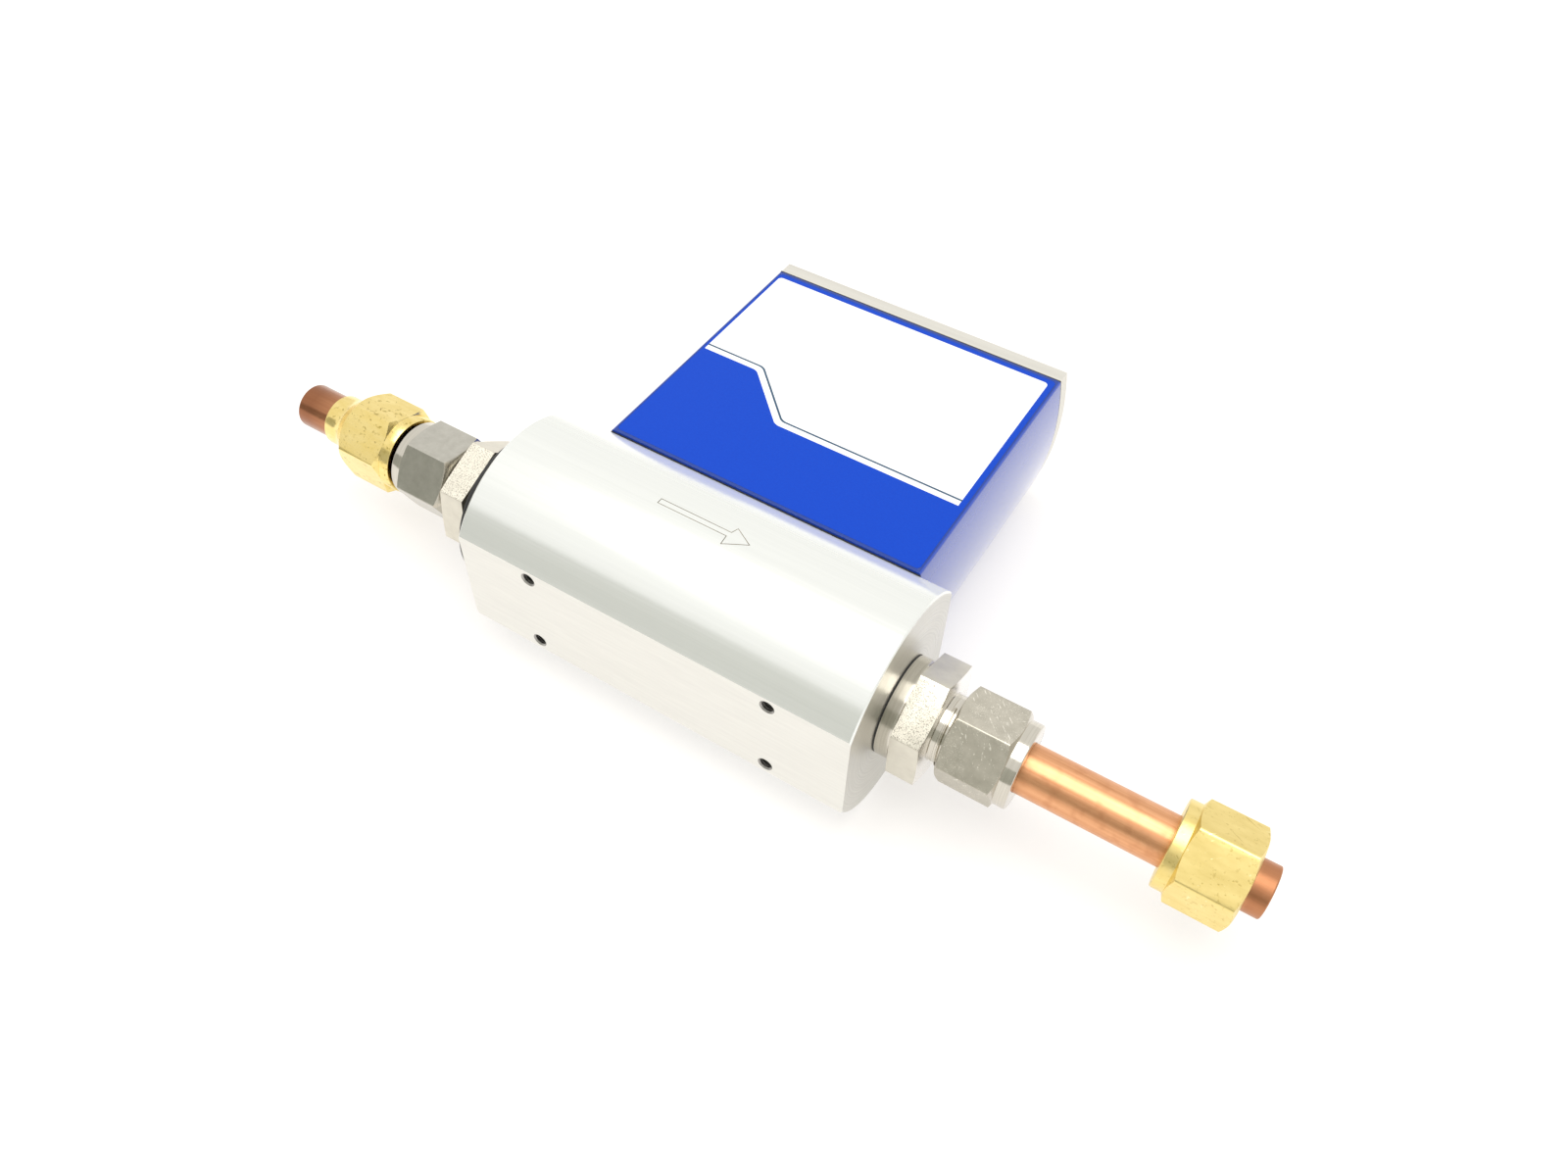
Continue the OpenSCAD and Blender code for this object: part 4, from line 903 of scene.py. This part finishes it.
foil = {
    "field": ((-43.4, 90, 0), (-26, 90, 1.2), (-10, 74, 1.2), (44.7, 74, 0),
              (44.7, 130.3, 1.2), (-43.4, 130.3, 1.2)),
    "line": ((-43.5, 91.8, 0), (-25.25, 91.8, 1.2), (-9.25, 75.8, 1.2), (44.8, 75.8, 0),
             (44.8, 76.4, 0), (-9.0, 76.4, 1.2), (-25.0, 92.4, 1.2), (-43.5, 92.4, 0)),
    "fieldDepth": 0.012,
    "lineDepth": 0.02,
    "depthSlack": 0.001,
    "corner": 1.2,
    "smooth": 25,
}


def printPrism(points, low, high, index):
    # an upright prism over a flat outline whose corners are rounded
    bm = bmesh.new()
    ring = [bm.verts.new((p[0] * mm, p[1] * mm, low)) for p in points]
    bm.faces.new(ring)
    for rounding in sorted({p[2] for p in points if p[2]}):
        corners = [v for v, p in zip(ring, points) if p[2] == rounding]
        bmesh.ops.bevel(bm, geom=corners, offset=rounding * mm, affect="VERTICES", segments=12,
                        profile=0.5, material=-1, clamp_overlap=True)
    grown = bmesh.ops.extrude_face_region(bm, geom=bm.faces[:])
    top = [e for e in grown["geom"] if isinstance(e, bmesh.types.BMVert)]
    bmesh.ops.translate(bm, vec=(0, 0, high - low), verts=top)
    bmesh.ops.recalc_face_normals(bm, faces=bm.faces)
    for face in bm.faces:
        face.material_index = index
    return bm


def makeFoil(v):
    low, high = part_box("front_foil")
    x0, x1, y0, y1 = low.x / mm, high.x / mm, low.y / mm, high.y / mm
    r = v["corner"]
    bm = printPrism(((x0, y0, r), (x1, y0, r), (x1, y1, r), (x0, y1, r)), low.z, high.z, 0)
    field = printPrism(v["field"], high.z - v["fieldDepth"] * mm, high.z + mm, 1)
    bm = combine(bm, field, "DIFFERENCE", 3)
    line = printPrism(v["line"], high.z - v["lineDepth"] * mm, high.z + mm, 2)
    bm = combine(bm, line, "DIFFERENCE", 3)
    for face in bm.faces:
        # the height of a face tells which print it belongs to
        drop = (high.z - face.calc_center_median().z) / mm
        deepest, inField = v["lineDepth"] + v["depthSlack"], v["fieldDepth"] + v["depthSlack"]
        face.material_index = 2 if inField < drop < deepest else 1 if v["depthSlack"] < drop <= inField else 0
    looks = [made[k] for k in ("foilBlue", "foilWhite", "foilSlate")]
    finishPiece("printed_foil", bm, "meter", looks, ("front_foil",), v["smooth"])


makeFoil(foil)
print("stage: foil printed")


# pieces that keep their frame shape and get their cut edges broken

dressed = {
    "top_cover": {"piece": "brushed_cover", "edge": 0.15, "look": "coverMetal", "slot": "cover_metal",
                  "liftLow": 0.2},
    "housing_shell": {"piece": "painted_housing", "edge": 0.12, "look": "bluePaint", "slot": "housing_blue",
                      "shadedFrontLook": "bluePaintShadedFront"},
    "cover_gasket": {"piece": "pressed_gasket", "edge": 0.05, "look": "rubber", "slot": "seal_rubber",
                     "liftHigh": 0.2},
}


dressing = {"flatAngle": 0.4, "rimAngle": 60, "near": 0.01, "frontBand": 0.5, "smooth": 22}


def dressCopy(node, v, d):
    # the rims of the two cut ends are broken by a small bevel
    bm = copyOf(node)
    bmesh.ops.dissolve_limit(bm, angle_limit=math.radians(d["flatAngle"]), verts=bm.verts, edges=bm.edges)
    low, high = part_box(node)
    near = d["near"] * mm
    for vert in bm.verts:
        # the soft gasket stands a little higher round the cover than in the frame
        if abs(vert.co.y - low.y) < near:
            vert.co.y += v.get("liftLow", 0) * mm
        elif abs(vert.co.y - high.y) < near:
            vert.co.y += v.get("liftHigh", 0) * mm
    low.y += v.get("liftLow", 0) * mm
    high.y += v.get("liftHigh", 0) * mm
    rims = []
    for e in bm.edges:
        if len(e.link_faces) != 2 or e.calc_face_angle() < math.radians(d["rimAngle"]):
            continue
        ends = [vert.co for vert in e.verts]
        if all(abs(c.y - high.y) < near for c in ends) or all(abs(c.y - low.y) < near for c in ends):
            rims.append(e)
    bmesh.ops.bevel(bm, geom=rims, offset=v["edge"] * mm, affect="EDGES", segments=2, profile=0.5,
                    material=-1, clamp_overlap=True)
    # the faces at the front get the darker blue, painted shade on the housing's front rim
    if "shadedFrontLook" in v:
        for face in bm.faces:
            atFront = face.calc_center_median().z > high.z - d["frontBand"] * mm
            face.material_index = int(face.normal.z > 0.9 and atFront)
    looks = [made[v[k]] for k in ("look", "shadedFrontLook") if k in v]
    finishPiece(v["piece"], bm, "meter", looks, (node,), d["smooth"])


for node, v in dressed.items():
    dressCopy(node, v, dressing)
print("stage: housing and cover dressed")


# the round connector, the button and the light guides on the cover

connector = {
    "x": -18.85, "flange": 1.6, "flangeRadius": 9, "height": 10.2, "rootRadius": 7.5, "crestRadius": 7.9,
    "pitch": 1.0, "bore": 6.7, "shaftRadius": 7.5, "below": 9.7, "notch": 0.9,
    "pins": 7, "pinRing": 4, "pinRadius": 0.5, "pinTop": 2.6, "insertTop": -0.8, "faceRing": 5.6,
    "faceRecess": 0.5, "insertSlip": 0.02, "threadSink": 0.3, "threadLead": 0.9, "rootShare": 0.86,
    "crestShare": 0.14, "coilSteps": 72, "smooth": 28, "pinSmooth": 40,
}


def makeBarrel(v):
    top = v["height"]
    shell = spinProfile((
        (-v["below"], v["shaftRadius"], 0.3), (0, v["shaftRadius"]), (0, v["flangeRadius"], 0.3),
        (v["flange"], v["flangeRadius"], 0.3), (v["flange"], v["rootRadius"], 0.3),
        (top - v["threadLead"], v["rootRadius"]), (top, v["rootRadius"] - 0.1, 0.25), (top, v["bore"], 0.15),
        (-v["below"], v["bore"]),
    ), 96)
    coil = threadOf(v, v["rootRadius"] - v["threadSink"], v["crestRadius"],
                    top - v["flange"] - 2 * v["threadLead"], v["flange"] + v["threadLead"])
    shell = combine(shell, coil, "UNION")
    finishPiece("connector_barrel", standUp(shell, v["x"], coverTop), "meter",
                [made["nickel"]], ("connector_shell",), v["smooth"])


def makeInsert(v):
    rim, face = v["insertTop"], v["insertTop"] - v["faceRecess"]
    edge = v["bore"] - v["insertSlip"]
    insert = spinProfile((
        (-v["below"], 0), (-v["below"], edge), (rim, edge, 0.2), (rim, v["faceRing"], 0.1),
        (face, v["faceRing"] - 0.3, 0.1), (face, 0),
    ), 72)
    finishPiece("connector_face", standUp(insert, v["x"], coverTop), "meter",
                [made["blackMoulded"]], ("connector_insert",), v["smooth"])


def makePins(v):
    # a ring of pins and one in the middle
    pins = []
    for i in range(v["pins"] + 1):
        angle = math.tau * i / v["pins"]
        ring = 0 if i == v["pins"] else v["pinRing"]
        pin = spinProfile(((-v["below"], 0), (-v["below"], v["pinRadius"]),
                           (v["pinTop"], v["pinRadius"], 0.42), (v["pinTop"], 0)), 24, 4)
        pins.append(standUp(pin, v["x"] + ring * math.cos(angle), coverTop, -ring * math.sin(angle)))
    finishPiece("connector_contacts", join(*pins), "meter", [made["gold"]],
                ("connector_pins",), v["pinSmooth"])


for makePart in (makeBarrel, makeInsert, makePins):
    makePart(connector)

button = {"x": 19.15, "radius": 2.8, "rise": 1.0, "rim": 0.35, "dish": 0.25,
          "flangeRadius": 3.6, "flangeTop": -4.8, "flange": 1.6, "stemRadius": 1.4,
          "rimShare": 0.72, "dishShare": 0.45, "smooth": 30}


def makeButton(v):
    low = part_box("push_button")[0].y / mm - coverTop
    bm = spinProfile((
        (low, 0), (low, v["stemRadius"], 0.2), (v["flangeTop"] - v["flange"], v["stemRadius"]),
        (v["flangeTop"] - v["flange"], v["flangeRadius"], 0.15), (v["flangeTop"], v["flangeRadius"], 0.15),
        (v["flangeTop"], v["radius"]), (v["rise"], v["radius"], v["rim"]),
        (v["rise"], v["radius"] * v["rimShare"], 0.2),
        (v["rise"] - v["dish"], v["radius"] * v["dishShare"], 0.3),
        (v["rise"] - v["dish"], 0),
    ), 72, 4)
    finishPiece("button_cap", standUp(bm, v["x"], coverTop), "push_button",
                [made["blackMoulded"]], ("push_button",), v["smooth"])


makeButton(button)

lights = {"places": (27.15, 32.15), "radius": 1.4, "rise": 0.28, "rim": 0.26, "smooth": 40}


def makeLights(v):
    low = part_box("status_lights")[0].y / mm - coverTop
    guides = []
    for x in v["places"]:
        bm = spinProfile(((low, 0), (low, v["radius"], 0.1), (v["rise"], v["radius"], v["rim"]),
                          (v["rise"], 0)), 48, 5)
        guides.append(standUp(bm, x, coverTop))
    finishPiece("light_guides", join(*guides), "meter", [made["lightGuide"]],
                ("status_lights",), v["smooth"])


makeLights(lights)
print("stage: connector, button and lights made")


# nodes whose shape is kept and only their finish is new

nodeLooks = {
    "inlet_seal": "rubber", "outlet_seal": "rubber", "base_gasket": "rubber",
    "sensor_seal": "rubber", "inlet_screens": "screwSteel",
    "screen_spacers": "screwSteel", "inlet_front_ferrule": "turnedSteel",
    "inlet_back_ferrule": "turnedSteel", "outlet_front_ferrule": "turnedSteel",
    "outlet_back_ferrule": "turnedSteel", "loose_front_ferrule": "brass", "loose_back_ferrule": "brass",
    "sensor_plug": "turnedSteel", "heater_probe": "turnedSteel", "temperature_probe": "turnedSteel",
    "sensor_leads": "gold", "base_plate": "blockBase", "base_screws": "screwSteel",
    "cover_screws": "screwSteel", "main_board": "boardGreen", "processor_chips": "chipBlack",
    "capacitors": "canSleeve", "button_switch": "blackMoulded", "connector_lock_nut": "nickel",
}


def dressNodes(looks):
    for node, look in looks.items():
        for slot in nodes[node].material_slots:
            slot.material = made[look]


dressNodes(nodeLooks)
print("stage: kept nodes dressed")
